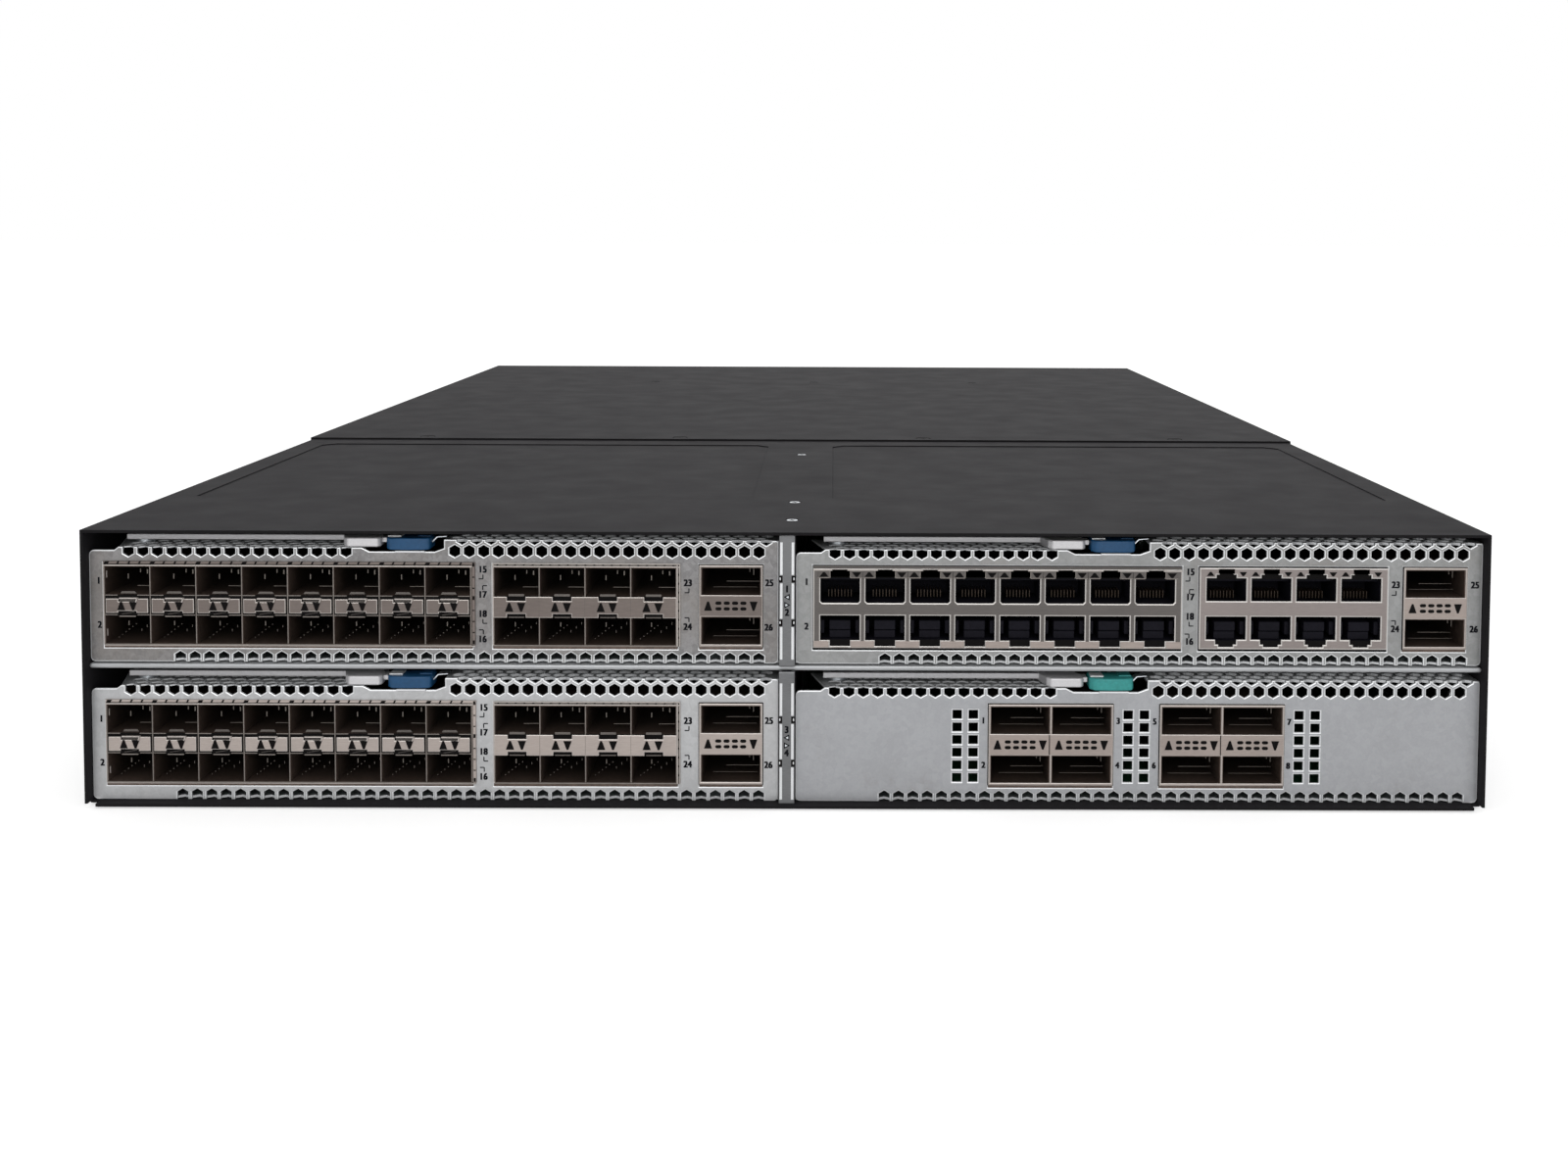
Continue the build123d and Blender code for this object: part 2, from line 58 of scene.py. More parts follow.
SHEET_WELD = 0.000004
SHARP_TURN = math.radians(35)
PRINT_LIFT = 0.04
LAYER_LIFT = 0.004
FONT_SIZE_SHARE = 1.36
GLYPH_WIDTH_SHARE = 0.84
BOLD_SHIFTS = ((-0.17, -0.08), (-0.17, 0.08), (0.17, 0.08), (0.17, -0.08), (0.0, 0.0))

Point2 = tuple[float, float]
Point3 = tuple[float, float, float]
Box3 = tuple[Point2, Point2, Point2]
Placer = Callable[[float, float, float], Point3]
Socket = bpy.types.NodeSocket


def front(u: float, v: float, w: float) -> Point3:
    """Plane seen from the ports: u is X, v is Z and w is depth Y."""
    return (u, w, v)


def level(u: float, v: float, w: float) -> Point3:
    """Plane seen from above: u is X, v is Y and w is height Z."""
    return (u, v, w)


def span(middle: float, half: float) -> Point2:
    """Both ends of a length from its middle and half its size."""
    return (middle - half, middle + half)


def moved(ends: Point2, by: float) -> Point2:
    """Both ends of a length after a move."""
    return (ends[0] + by, ends[1] + by)


def across(corners: Iterable[Point2], by: float) -> list[Point2]:
    """Corners moved to the right."""
    return [(by + u, v) for u, v in corners]


# Finishes


class Pattern(Enum):
    """What a finish's surface is broken up by."""

    GALVANISED = "galvanised"
    BRUSHED = "brushed"
    POWDER = "powder"
    CAST = "cast"
    MOULDED = "moulded"
    # Painted shade that deepens behind a cage's mouth.
    CAGE_SHADE = "deep"


@dataclass(frozen=True)
class Finish:
    """One procedural surface.

    Attributes:
        name: Name of the Blender material.
        color: Base colour, linear.
        metallic: Metal share from 0 to 1.
        roughness: Middle roughness.
        pattern: What breaks the surface up.
        mottle: How far the colour wanders, as a share.
        bump: Height of the fine relief, in millimetres.
        grime: Colour that gathers in patches.
        grime_share: How much of the surface carries it.
        specular: Strength of the gloss on what isn't metal.
    """

    name: str
    color: Point3
    metallic: float
    roughness: float
    pattern: Pattern
    mottle: float = 0.12
    bump: float = 0.02
    grime: Point3 = (0.16, 0.14, 0.12)
    grime_share: float = 0.0
    specular: float = 0.5


CHARCOAL = Finish(
    "charcoal_powder", (0.0148, 0.0138, 0.0155),
    0.0, 0.72, Pattern.POWDER, 0.08, 0.03, specular=0.10,
)
PLATE_DARK = Finish(
    "galvanised_worn", (0.185, 0.181, 0.183),
    0.45, 0.46, Pattern.GALVANISED, 0.24, 0.012, grime_share=0.22,
)
PLATE_MID = Finish(
    "galvanised_mid", (0.232, 0.235, 0.234),
    0.45, 0.46, Pattern.GALVANISED, 0.12, 0.012, grime_share=0.10,
)
PLATE_PALE = Finish(
    "galvanised_pale", (0.385, 0.388, 0.394),
    0.45, 0.44, Pattern.GALVANISED, 0.08, 0.012, grime_share=0.06,
)
PLATE_STAINED = Finish(
    "galvanised_stained", (0.305, 0.31, 0.323),
    0.45, 0.44, Pattern.GALVANISED, 0.06, 0.010, grime_share=0.06,
)
# Edge finishes, paler than their faces: partly bare steel of cuts and bends, partly painted
# highlight.
RIM = Finish("punched_edge_highlight", (0.63, 0.64, 0.65), 0.3, 0.40, Pattern.BRUSHED, 0.06, 0.002)
# Galvanised flange sheet, darker than the faceplates as painted shade under the cover lip and
# shelf.
FLANGE = Finish("flange_sheet_shaded", (0.23, 0.235, 0.24), 0.45, 0.45, Pattern.GALVANISED, 0.20, 0.012)
FLANGE_SHADE = Finish(
    "flange_shade", (0.13, 0.13, 0.125), 0.3, 0.50, Pattern.GALVANISED, 0.20, 0.012
)
# Paler flange edge: partly bare steel, partly painted highlight.
FLANGE_EDGE = Finish("flange_edge_highlight", (0.52, 0.53, 0.54), 0.4, 0.38, Pattern.BRUSHED, 0.12, 0.004)
ZINC = Finish("zinc_sheet", (0.60, 0.63, 0.66), 0.9, 0.33, Pattern.BRUSHED, 0.12, 0.006)
COLUMN = Finish("column_sheet", (0.125, 0.127, 0.131), 0.45, 0.40, Pattern.BRUSHED, 0.16, 0.006)
WARM = Finish("warm_stamping", (0.285, 0.240, 0.217), 0.35, 0.45, Pattern.BRUSHED, 0.12, 0.008)
WARM_PALE = Finish(
    "warm_stamping_pale", (0.345, 0.298, 0.272), 0.35, 0.45, Pattern.BRUSHED, 0.10, 0.008
)
WARM_WORN = Finish(
    "warm_stamping_worn", (0.128, 0.104, 0.093), 0.35, 0.45, Pattern.BRUSHED, 0.16, 0.008
)
WARM_DIM = Finish("warm_shaded", (0.095, 0.083, 0.075), 0.45, 0.45, Pattern.BRUSHED, 0.14, 0.006)
WALL_END = Finish("cage_wall_end", (0.17, 0.150, 0.135), 0.4, 0.42, Pattern.BRUSHED, 0.20, 0.004)
# Paler stamping edge: partly bare steel, partly painted highlight.
WARM_EDGE = Finish("warm_edge_highlight", (0.40, 0.365, 0.34), 0.4, 0.36, Pattern.BRUSHED, 0.10, 0.004)
SHIELD = Finish("jack_shield", (0.083, 0.074, 0.069), 0.35, 0.44, Pattern.BRUSHED, 0.12, 0.006)
SHIELD_DARK = Finish("jack_window", (0.075, 0.066, 0.061), 0.35, 0.44, Pattern.BRUSHED, 0.12, 0.006)
SHIELD_PALE = Finish(
    "jack_shield_pale", (0.205, 0.177, 0.168), 0.35, 0.44, Pattern.BRUSHED, 0.10, 0.006
)
# Paler shield edge: partly bare steel, partly painted highlight.
SHIELD_EDGE = Finish(
    "jack_shield_edge_highlight", (0.44, 0.42, 0.40), 0.4, 0.34, Pattern.BRUSHED, 0.06, 0.004
)
SHELF = Finish("shelf_sheet", (0.33, 0.337, 0.345), 0.45, 0.38, Pattern.BRUSHED, 0.10, 0.006)
# Warm steel darkened as painted shade of the deep cage pockets.
CAGE_SHADE = Finish("cage_depth_shade", (0.078, 0.054, 0.043), 0.4, 0.46, Pattern.CAGE_SHADE, 0.35, 0.01)
DIM = Finish("cage_spring", (0.13, 0.115, 0.10), 0.5, 0.42, Pattern.BRUSHED, 0.2, 0.0)
CAST = Finish("cast_lever", (0.49, 0.485, 0.495), 0.45, 0.45, Pattern.CAST, 0.08, 0.03)
BLUE = Finish(
    "blue_moulding", (0.009, 0.057, 0.138), 0.0, 0.42, Pattern.MOULDED, 0.12, 0.015, specular=0.3
)
TEAL = Finish(
    "teal_moulding", (0.034, 0.255, 0.240), 0.0, 0.42, Pattern.MOULDED, 0.12, 0.015, specular=0.3
)
BLACK = Finish(
    "black_moulding", (0.0070, 0.0066, 0.0100),
    0.0, 0.60, Pattern.MOULDED, 0.20, 0.02, specular=0.06,
)
# Near black: painted shade in openings, slots and slits drawn as dark inserts, and the real dark of
# light windows and seams.
BLACK_AND_SHADE = Finish(
    "black_and_opening_shade", (0.005, 0.0045, 0.0045), 0.0, 0.75, Pattern.MOULDED, 0.20, 0.0, specular=0.05
)
INK = Finish(
    "printed_ink", (0.007, 0.007, 0.009), 0.0, 0.70, Pattern.MOULDED, 0.20, 0.0, specular=0.05
)
GOLD = Finish("contact_gold", (0.42, 0.30, 0.14), 1.0, 0.35, Pattern.BRUSHED, 0.15, 0.0)
FAINT_GOLD = Finish("contact_shaded", (0.034, 0.022, 0.014), 0.5, 0.45, Pattern.BRUSHED, 0.25, 0.0)
BOARD = Finish("board_green", (0.013, 0.052, 0.024), 0.0, 0.38, Pattern.MOULDED, 0.25, 0.01)
CASE = Finish("supply_case", (0.44, 0.45, 0.46), 0.85, 0.40, Pattern.GALVANISED, 0.12, 0.01)
LIGHT_PIPE = Finish("light_pipe", (0.25, 0.26, 0.25), 0.0, 0.25, Pattern.MOULDED, 0.10, 0.0)


class Graph:
    """Adds nodes to one node tree and links them.

    What an input gets is a number, a colour or the socket that feeds it.
    """

    def __init__(self, tree: bpy.types.NodeTree) -> None:
        self.tree = tree

    def fill(self, node: bpy.types.Node, inputs: dict[str | int, object]) -> None:
        """Gives the inputs of a node, by name or place, what they get."""
        for key, value in inputs.items():
            if isinstance(value, Socket):
                self.tree.links.new(value, node.inputs[key])
            else:
                node.inputs[key].default_value = value

    def node(self, kind: str, inputs: dict[str | int, object], **settings: str) -> bpy.types.Node:
        """Adds a node.

        Args:
            kind: Its type, without the leading ShaderNode.
            inputs: What its inputs get.
            settings: Its own properties.

        Returns:
            The new node.
        """
        node = self.tree.nodes.new("ShaderNode" + kind)
        for name, value in settings.items():
            setattr(node, name, value)
        self.fill(node, inputs)
        return node

    def math(self, operation: str, *values: float | Socket) -> Socket:
        """Adds a math node and gives its value."""
        return self.node("Math", dict(enumerate(values)), operation=operation).outputs["Value"]

    def noise(self, where: Socket, scale: float, detail: float, rough: float = 0.55) -> Socket:
        """Adds a noise texture and gives its value."""
        inputs = {"Vector": where, "Scale": scale, "Detail": detail, "Roughness": rough}
        return self.node("TexNoise", inputs).outputs["Fac"]

    def ramp(self, value: Socket, low: float, high: float) -> Socket:
        """Maps a value smoothly to 0 at low and 1 at high."""
        inputs = {"Value": value, "From Min": low, "From Max": high}
        return self.node("MapRange", inputs, interpolation_type="SMOOTHSTEP").outputs["Result"]

    def mix(self, share: Socket, first: Point3 | Socket, second: Point3) -> Socket:
        """Mixes two colours, the first of which may be linked."""
        start = first if isinstance(first, Socket) else (*first, 1.0)
        inputs = {0: share, 6: start, 7: (*second, 1.0)}
        return self.node("Mix", inputs, data_type="RGBA").outputs[2]


class Finisher:
    """Turns finishes into node materials, one material for each finish.

    Attributes:
        broad: Scale and detail of the slow wander of colour and roughness.
        reliefs: Scale and detail of the fine relief of some patterns.
        plain: The same for the others.
        grain: How far a brushed grain is squeezed along each axis.
        mouth: Depth of the cages' mouths, in metres from the middle of the chassis.
        deep_color: The painted shade that a cage's walls darken to inside.
        port_shade: How much of its colour paint that faces the ports keeps, as painted shade.
    """

    broad: Point2 = (55.0, 4.0)
    reliefs = {Pattern.POWDER: (1500.0, 2.0), Pattern.CAST: (2200.0, 3.0)}
    plain: Point2 = (900.0, 2.0)
    grain: Point3 = (1.0, 1.0, 16.0)
    mouth = 0.327
    deep_color: Point3 = (0.030, 0.0215, 0.017)
    port_shade = 0.42

    def __init__(self) -> None:
        self.made: dict[str, bpy.types.Material] = {}

    def get(self, finish: Finish) -> bpy.types.Material:
        """Gives the material of a finish.

        Args:
            finish: The surface wanted.

        Returns:
            The Blender material, made on first use.
        """
        if finish.name not in self.made:
            self.made[finish.name] = self._build(finish)
        return self.made[finish.name]

    def _build(self, finish: Finish) -> bpy.types.Material:
        """Builds one node material from its finish."""
        material = bpy.data.materials.new(finish.name)
        material.use_nodes = True
        graph = Graph(material.node_tree)
        shader = graph.tree.nodes["Principled BSDF"]
        where = graph.node("TexCoord", {}).outputs["Object"]
        broad = graph.noise(where, *self.broad)
        fine = self._relief(graph, finish.pattern, where)
        dark = tuple(c * (1 - finish.mottle) for c in finish.color)
        pale = tuple(min(1.0, c * (1 + finish.mottle)) for c in finish.color)
        both = graph.math("MULTIPLY_ADD", fine, 0.55, graph.math("MULTIPLY", broad, 0.45))
        color = graph.mix(graph.ramp(both, 0.3, 0.7), dark, pale)
        if finish.grime_share:
            patches = graph.noise(where, 24.0, 7.0, 0.7)
            low, high = 0.62 - finish.grime_share, 0.78 - finish.grime_share * 0.6
            mask = graph.math("MULTIPLY", graph.ramp(patches, low, high), 0.45)
            color = graph.mix(mask, color, finish.grime)
        # Painted shade: cage walls darken with depth behind the mouth.
        if finish.pattern is Pattern.CAGE_SHADE:
            color = graph.mix(self._depth(graph, where), color, self.deep_color)
        # Painted shade: powder paint facing the ports darkens to port_shade of its colour.
        if finish.pattern is Pattern.POWDER:
            shaded = tuple(c * self.port_shade for c in finish.color)
            color = graph.mix(self._port_facing_shade(graph), color, shaded)
        inputs = {
            "Base Color": color,
            "Metallic": finish.metallic,
            "Specular IOR Level": finish.specular,
            "Roughness": graph.math("MULTIPLY_ADD", broad, 0.22, finish.roughness - 0.11),
        }
        if finish.bump:
            relief = {"Strength": 0.5, "Distance": finish.bump * MM, "Height": fine}
            inputs["Normal"] = graph.node("Bump", relief).outputs["Normal"]
        graph.fill(shader, inputs)
        return material

    def _relief(self, graph: Graph, pattern: Pattern, where: Socket) -> Socket:
        """Gives the fine relief of a pattern."""
        if pattern is Pattern.GALVANISED:
            return self._spangle(graph, where)
        if pattern is Pattern.BRUSHED:
            squeezed = graph.node("Mapping", {"Vector": where, "Scale": self.grain})
            return graph.noise(squeezed.outputs["Vector"], 420.0, 3.0)
        return graph.noise(where, *self.reliefs.get(pattern, self.plain))

    @staticmethod
    def _spangle(graph: Graph, where: Socket) -> Socket:
        """Small crystals of a zinc coat, softened by noise."""
        cells = graph.node("TexVoronoi", {"Vector": where, "Scale": 620.0}).outputs["Color"]
        tone = graph.node("SeparateColor", {"Color": cells}).outputs["Red"]
        grain = graph.math("MULTIPLY", graph.noise(where, 1300.0, 3.0), 0.65)
        return graph.math("MULTIPLY_ADD", tone, 0.35, grain)

    def _depth(self, graph: Graph, where: Socket) -> Socket:
        """Grows from 0 at a cage's mouth to 1 deep inside, where painted shade darkens the walls.
        """
        depth = graph.node("SeparateXYZ", {"Vector": where}).outputs["Y"]
        return graph.ramp(graph.math("ADD", depth, self.mouth), -0.001, 0.016)

    @staticmethod
    def _port_facing_shade(graph: Graph) -> Socket:
        """Is 1 on paint that faces the ports, where painted shade darkens it, and 0 elsewhere."""
        normal = graph.node("NewGeometry", {}).outputs["Normal"]
        facing = graph.node("SeparateXYZ", {"Vector": normal}).outputs["Y"]
        return graph.ramp(graph.math("MULTIPLY", facing, -1.0), 0.3, 0.9)


FINISHER = Finisher()


# Mesh making


class Form:
    """Faces collected in millimetres, which become one piece."""

    def __init__(self) -> None:
        self.points: list[Point3] = []
        self.faces: list[tuple[int, ...]] = []

    def prism(
        self, outline: Sequence[Point2], low: float, high: float, place: Placer = front
    ) -> "Form":
        """Adds a solid with the same outline at both ends.

        Args:
            outline: Its corners in the plane.
            low: Where it starts along the plane's normal.
            high: Where it ends.
            place: The plane.

        Returns:
            This form.
        """
        start, count = len(self.points), len(outline)
        for w in (low, high):
            self.points += [place(u, v, w) for u, v in outline]
        self.faces.append(tuple(start + i for i in range(count)))
        self.faces.append(tuple(start + count + i for i in reversed(range(count))))
        for i in range(count):
            j = (i + 1) % count
            self.faces.append((start + i, start + count + i, start + count + j, start + j))
        return self

    def box(self, x: Point2, y: Point2, z: Point2) -> "Form":
        """Adds a box from its spans along X, Y and Z."""
        corners = [(x[0], z[0]), (x[1], z[0]), (x[1], z[1]), (x[0], z[1])]
        return self.prism(corners, y[0], y[1], front)

    def rod(
        self,
        u: float,
        v: float,
        radius: float,
        low: float,
        high: float,
        place: Placer,
        sides: int = 32,
    ) -> "Form":
        """Adds a round bar along the plane's normal."""
        turns = [math.tau * (i + 0.5) / sides for i in range(sides)]
        ring = [(u + radius * math.cos(t), v + radius * math.sin(t)) for t in turns]
        return self.prism(ring, low, high, place)

    def make(
        self,
        name: str,
        finish: Finish,
        body: str,
        bevel: float = 0.0,
        segments: int = 2,
        slot: str | None = None,
    ) -> bpy.types.Object:
        """Makes the piece, rounds its edges and lets it ride on its body.

        Args:
            name: Name of the piece.
            finish: Its surface.
            body: The CAD body that it moves with.
            bevel: Width of the rounded edges.
            segments: Facets of each rounded edge.
            slot: The record's material slot, if it has one; not used.

        Returns:
            The new object.
        """
        mesh = bpy.data.meshes.new(name)
        mesh.from_pydata([(x * MM, y * MM, z * MM) for x, y, z in self.points], [], self.faces)
        work = bmesh.new()
        work.from_mesh(mesh)
        bmesh.ops.recalc_face_normals(work, faces=work.faces)
        work.to_mesh(mesh)
        work.free()
        piece = bpy.data.objects.new(name, mesh)
        bpy.context.collection.objects.link(piece)
        mesh.materials.append(FINISHER.get(finish))
        if bevel:
            round_edges(piece, bevel, segments)
        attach(piece, body)
        return piece


def round_edges(
    piece: bpy.types.Object, width: float, segments: int = 2, smooth: bool = True
) -> None:
    """Adds a rounding of the sharp edges that keeps flat faces flat."""
    if smooth:
        piece.data.shade_smooth()
    bevel = piece.modifiers.new("edges", "BEVEL")
    bevel.width = width * MM
    bevel.segments = segments
    bevel.limit_method = "ANGLE"
    bevel.angle_limit = SHARP_TURN
    bevel.harden_normals = smooth


def round_cad(node: str, width: float, segments: int = 2) -> None:
    """Rounds the edges of a carried-over CAD node without touching its mesh."""
    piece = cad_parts[node]
    weld = piece.modifiers.new("weld", "WELD")
    weld.merge_threshold = WELD
    round_edges(piece, width, segments, smooth=False)


def coat_cad(node: str, finish: Finish) -> None:
    """Gives a carried-over CAD node its procedural surface."""
    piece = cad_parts[node]
    piece.data.materials.clear()
    piece.data.materials.append(FINISHER.get(finish))


def baked(holder: bpy.types.Object) -> bpy.types.Mesh:
    """Turns a curve or text object into a mesh and removes the object."""
    bpy.context.collection.objects.link(holder)
    bpy.context.view_layer.update()
    scene = bpy.context.evaluated_depsgraph_get()
    mesh = bpy.data.meshes.new_from_object(holder.evaluated_get(scene))
    bpy.data.objects.remove(holder)
    return mesh


def cut_sheet(
    name: str,
    outline: Sequence[Point2],
    holes: Iterable[Sequence[Point2]],
    depth: Point2,
    finish: Finish,
    body: str,
    rim: float = 0.32,
    place: Placer = front,
    edge: Finish = RIM,
) -> bpy.types.Object:
    """Makes a sheet with holes whose cut edges are rolled over and paler: partly bare steel, partly
    painted highlight.

    Args:
        name: Name of the piece.
        outline: Corners of the sheet.
        holes: Corners of each hole.
        depth: Where the sheet starts and ends along the plane's normal.
        finish: Surface of its flat faces.
        body: The CAD body that it moves with.
        rim: Radius of the rolled edges.
        place: The plane.
        edge: Surface of the rolled edges, partly bare steel and partly painted highlight.

    Returns:
        The new object.
    """
    curve = bpy.data.curves.new(name, "CURVE")
    curve.dimensions = "2D"
    curve.fill_mode = "BOTH"
    curve.extrude = (depth[1] - depth[0]) / 2 - rim
    curve.bevel_depth = rim
    curve.bevel_resolution = 0
    curve.offset = -rim
    for corners in (outline, *holes):
        spline = curve.splines.new("POLY")
        spline.points.add(len(corners) - 1)
        for point, (u, v) in zip(spline.points, corners):
            point.co = (u, v, 0.0, 1.0)
        spline.use_cyclic_u = True
    holder = bpy.data.objects.new(name + "_curve", curve)
    mesh = baked(holder)
    middle = (depth[0] + depth[1]) / 2
    half = (depth[1] - depth[0]) / 2
    for vertex in mesh.vertices:
        u, v, w = vertex.co
        if abs(w) < half - rim / 2:
            w = math.copysign(half - rim * 0.35, w)
        vertex.co = Vector(place(u, v, middle + w)) * MM
    work = bmesh.new()
    work.from_mesh(mesh)
    bmesh.ops.remove_doubles(work, verts=work.verts, dist=SHEET_WELD)
    bmesh.ops.recalc_face_normals(work, faces=work.faces)
    mesh.materials.clear()
    normal = Vector(place(0, 0, 1)) - Vector(place(0, 0, 0))
    for face in work.faces:
        flat = abs(face.normal.dot(normal)) > 0.98
        face.material_index = 0 if flat else 1
        face.smooth = False
    work.to_mesh(mesh)
    work.free()
    mesh.name = name
    piece = bpy.data.objects.new(name, mesh)
    bpy.context.collection.objects.link(piece)
    mesh.materials.append(FINISHER.get(finish))
    mesh.materials.append(FINISHER.get(edge))
    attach(piece, body)
    return piece


def rectangle(u: Point2, v: Point2) -> list[Point2]:
    """Corners of a rectangle from its two spans."""
    return [(u[0], v[0]), (u[1], v[0]), (u[1], v[1]), (u[0], v[1])]


def arc(
    u: float, v: float, radius: float, start: float, end: float, steps: int = 5
) -> list[Point2]:
    """Points of an arc between two angles in degrees."""
    turns = [math.radians(start + (end - start) * i / steps) for i in range(steps + 1)]
    return [(u + radius * math.cos(t), v + radius * math.sin(t)) for t in turns]


def lettering(
    name: str, text: str, x: float, z: float, size: float, y: float, body: str
) -> bpy.types.Object:
    """Prints a short bold number on a face that looks at the ports.

    Args:
        name: Name of the piece.
        text: The number.
        x: Where its middle is.
        z: Its middle height.
        size: Height of the characters.
        y: The face that carries it.
        body: The CAD body that it moves with.

    Returns:
        The new object.
    """
    curve = bpy.data.curves.new(name, "FONT")
    curve.body = text
    curve.size = size * FONT_SIZE_SHARE
    curve.space_character = 1.08
    curve.align_x = "CENTER"
    curve.align_y = "CENTER"
    holder = bpy.data.objects.new(name + "_curve", curve)
    mesh = baked(holder)
    corners = [vertex.co.copy() for vertex in mesh.vertices]
    faces = [tuple(face.vertices) for face in mesh.polygons]
    points, polygons = [], []
    for layer, (du, dv) in enumerate(BOLD_SHIFTS):
        polygons += [tuple(i + len(points) for i in face) for face in faces]
        for corner in corners:
            u, v = corner.x * GLYPH_WIDTH_SHARE + du, corner.y + dv
            points.append(Vector((x + u, y - PRINT_LIFT - LAYER_LIFT * layer, z + v)) * MM)
    bpy.data.meshes.remove(mesh)
    mesh = bpy.data.meshes.new(name)
    mesh.from_pydata(points, [], polygons)
    mesh.materials.append(FINISHER.get(INK))
    piece = bpy.data.objects.new(name, mesh)
    bpy.context.collection.objects.link(piece)
    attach(piece, body)
    return piece


def triangle(u: float, v: float, width: float, height: float, up: bool) -> list[Point2]:
    """Corners of a small pointer with a blunt tip, up or down."""
    rise = height / 2 if up else -height / 2
    foot, tip = span(u, width / 2), span(u, width * 0.11)
    return [(foot[0], v - rise), (foot[1], v - rise), (tip[1], v + rise), (tip[0], v + rise)]


# Shared sizes


@dataclass(frozen=True)
class ChassisSizes:
    """Sizes of the chassis that its dressing needs."""

    front_top: float = 87.3
    cover_edge: float = -95.0
    rear_top: float = 88.1
    bay_face: float = 326.0
    column_face: float = -328.5
    slot_left: float = -218.1
    slot_right: float = 2.75
    slot_low: float = 1.3
    slot_high: float = 45.1


@dataclass(frozen=True)
class ModuleSizes:
    """Sizes that all port modules share. Offsets run from a module's left edge, face and base.

    The low strip at the left carries the lever, the high part at the right the
    whole hexagons. Holes of the hexagon field lie in rows a hex_pitch apart.
    """

    face: float = -326.0
    width: float = 215.35
    height: float = 38.8
    shoulder_height: float = 35.2
    shoulder_width: float = 108.2
    riser: float = 2.6
    corner: float = 1.5
    top_corner: float = 0.8
    sheet: float = 1.0
    flange: float = 18.0
    flange_start: float = 0.5
    length: float = 230.0
    tray_sheet: float = 0.8
    hex_pitch: float = 4.53
    hex_row: float = 3.923
    hex_tip: float = 2.0
    hex_half: float = 1.73
    full_first: float = 114.1
    full_count: int = 22
    full_height: float = 35.25
    half_first: float = 12.2
    half_count: int = 16
    strip_height: float = 36.2
    strip: Point2 = (9.2, 85.0)
    bottom_last: float = 209.2
    bottom_count: int = 41
    cage: Point2 = (4.4, 31.3)
    window_gap: float = 0.1

    def high_row(self, shift: float = 0.0) -> list[float]:
        """Middles of the holes along the high part, moved by a share of their pitch."""
        return [self.full_first + self.hex_pitch * (i + shift) for i in range(self.full_count)]

    def low_row(self, shift: float = 0.0) -> list[float]:
        """Middles of the holes along the low strip. A moved row has one hole less."""
        count = self.half_count - (1 if shift else 0)
        return [self.half_first + self.hex_pitch * (i + shift) for i in range(count)]

    def bottom_row(self) -> list[float]:
        """Middles of the holes along the bottom edge, from the left."""
        return [self.bottom_last - self.hex_pitch * i for i in reversed(range(self.bottom_count))]

    def hexagon(self, x: float, y: float) -> list[Point2]:
        """Corners of a whole hole with its tips up and down."""
        turns = [math.radians(60 * k) for k in range(6)]
        return [(x + self.hex_tip * math.sin(t), y + self.hex_tip * math.cos(t)) for t in turns]

    def notch(self, x: float, edge: float, shoulder: float, tip: float) -> list[Point2]:
        """Corners of a hole that an edge cuts through, from left to right."""
        left, right = x - self.hex_half, x + self.hex_half
        return [(left, edge), (left, shoulder), (x, tip), (right, shoulder), (right, edge)]


@dataclass(frozen=True)
class LeverSizes:
    """Sizes of an ejector lever and its latch button."""

    pivot: Point2 = (13.0, 12.0)
    arm_base: float = 37.1
    arm_top: float = 38.6
    arm: Point2 = (8.5, 79.4)
    arm_depth: Point2 = (8.0, 16.0)
    grip: Point2 = (78.9, 89.2)
    grip_reach: float = 1.6
    grip_depth: Point2 = (0.5, 16.0)
    grip_height: Point2 = (36.3, 39.3)
    neck: Point2 = (88.6, 92.2)
    neck_depth: Point2 = (3.1, 8.0)
    neck_height: Point2 = (37.4, 38.9)
    button: Point2 = (92.5, 106.4)
    button_depth: Point2 = (-0.5, 8.0)
    button_height: Point2 = (35.5, 39.7)
    bow: float = 0.9
    bow_steps: int = 8


@dataclass(frozen=True)
class ScrewSizes:
    """Sizes of the covers' sunk screws. Heights run from the cover's top."""

    seat: Point2 = (-0.45, 1.0)
    gap: float = 0.35
    head: Point2 = (-0.6, -0.1)
    slot: Point2 = (-0.4, -0.085)
    slot_share: float = 0.9
    slot_width: float = 0.55
    slot_turns: Point2 = (20.0, 110.0)
    sides: int = 40


@dataclass(frozen=True)
class ColumnSizes:
    """Sizes of a column's marks and of the pale strips on its folds, painted highlights. Heights
    run from its middle.
    """

    number_rise: float = 3.7
    number_size: float = 2.2
    pointer_rise: float = 1.25
    bend_place: float = 1.8
    bend_half: float = 0.42
    bend_highlights: tuple[Point2, ...] = ((-18.5, -8.2), (-5.6, 5.6), (8.2, 18.5))
    notch_rise: float = 6.9
    notch_place: float = 1.95
    notch_half: Point2 = (0.55, 1.05)
    tab_place: float = 2.15
    tab_half: float = 0.2


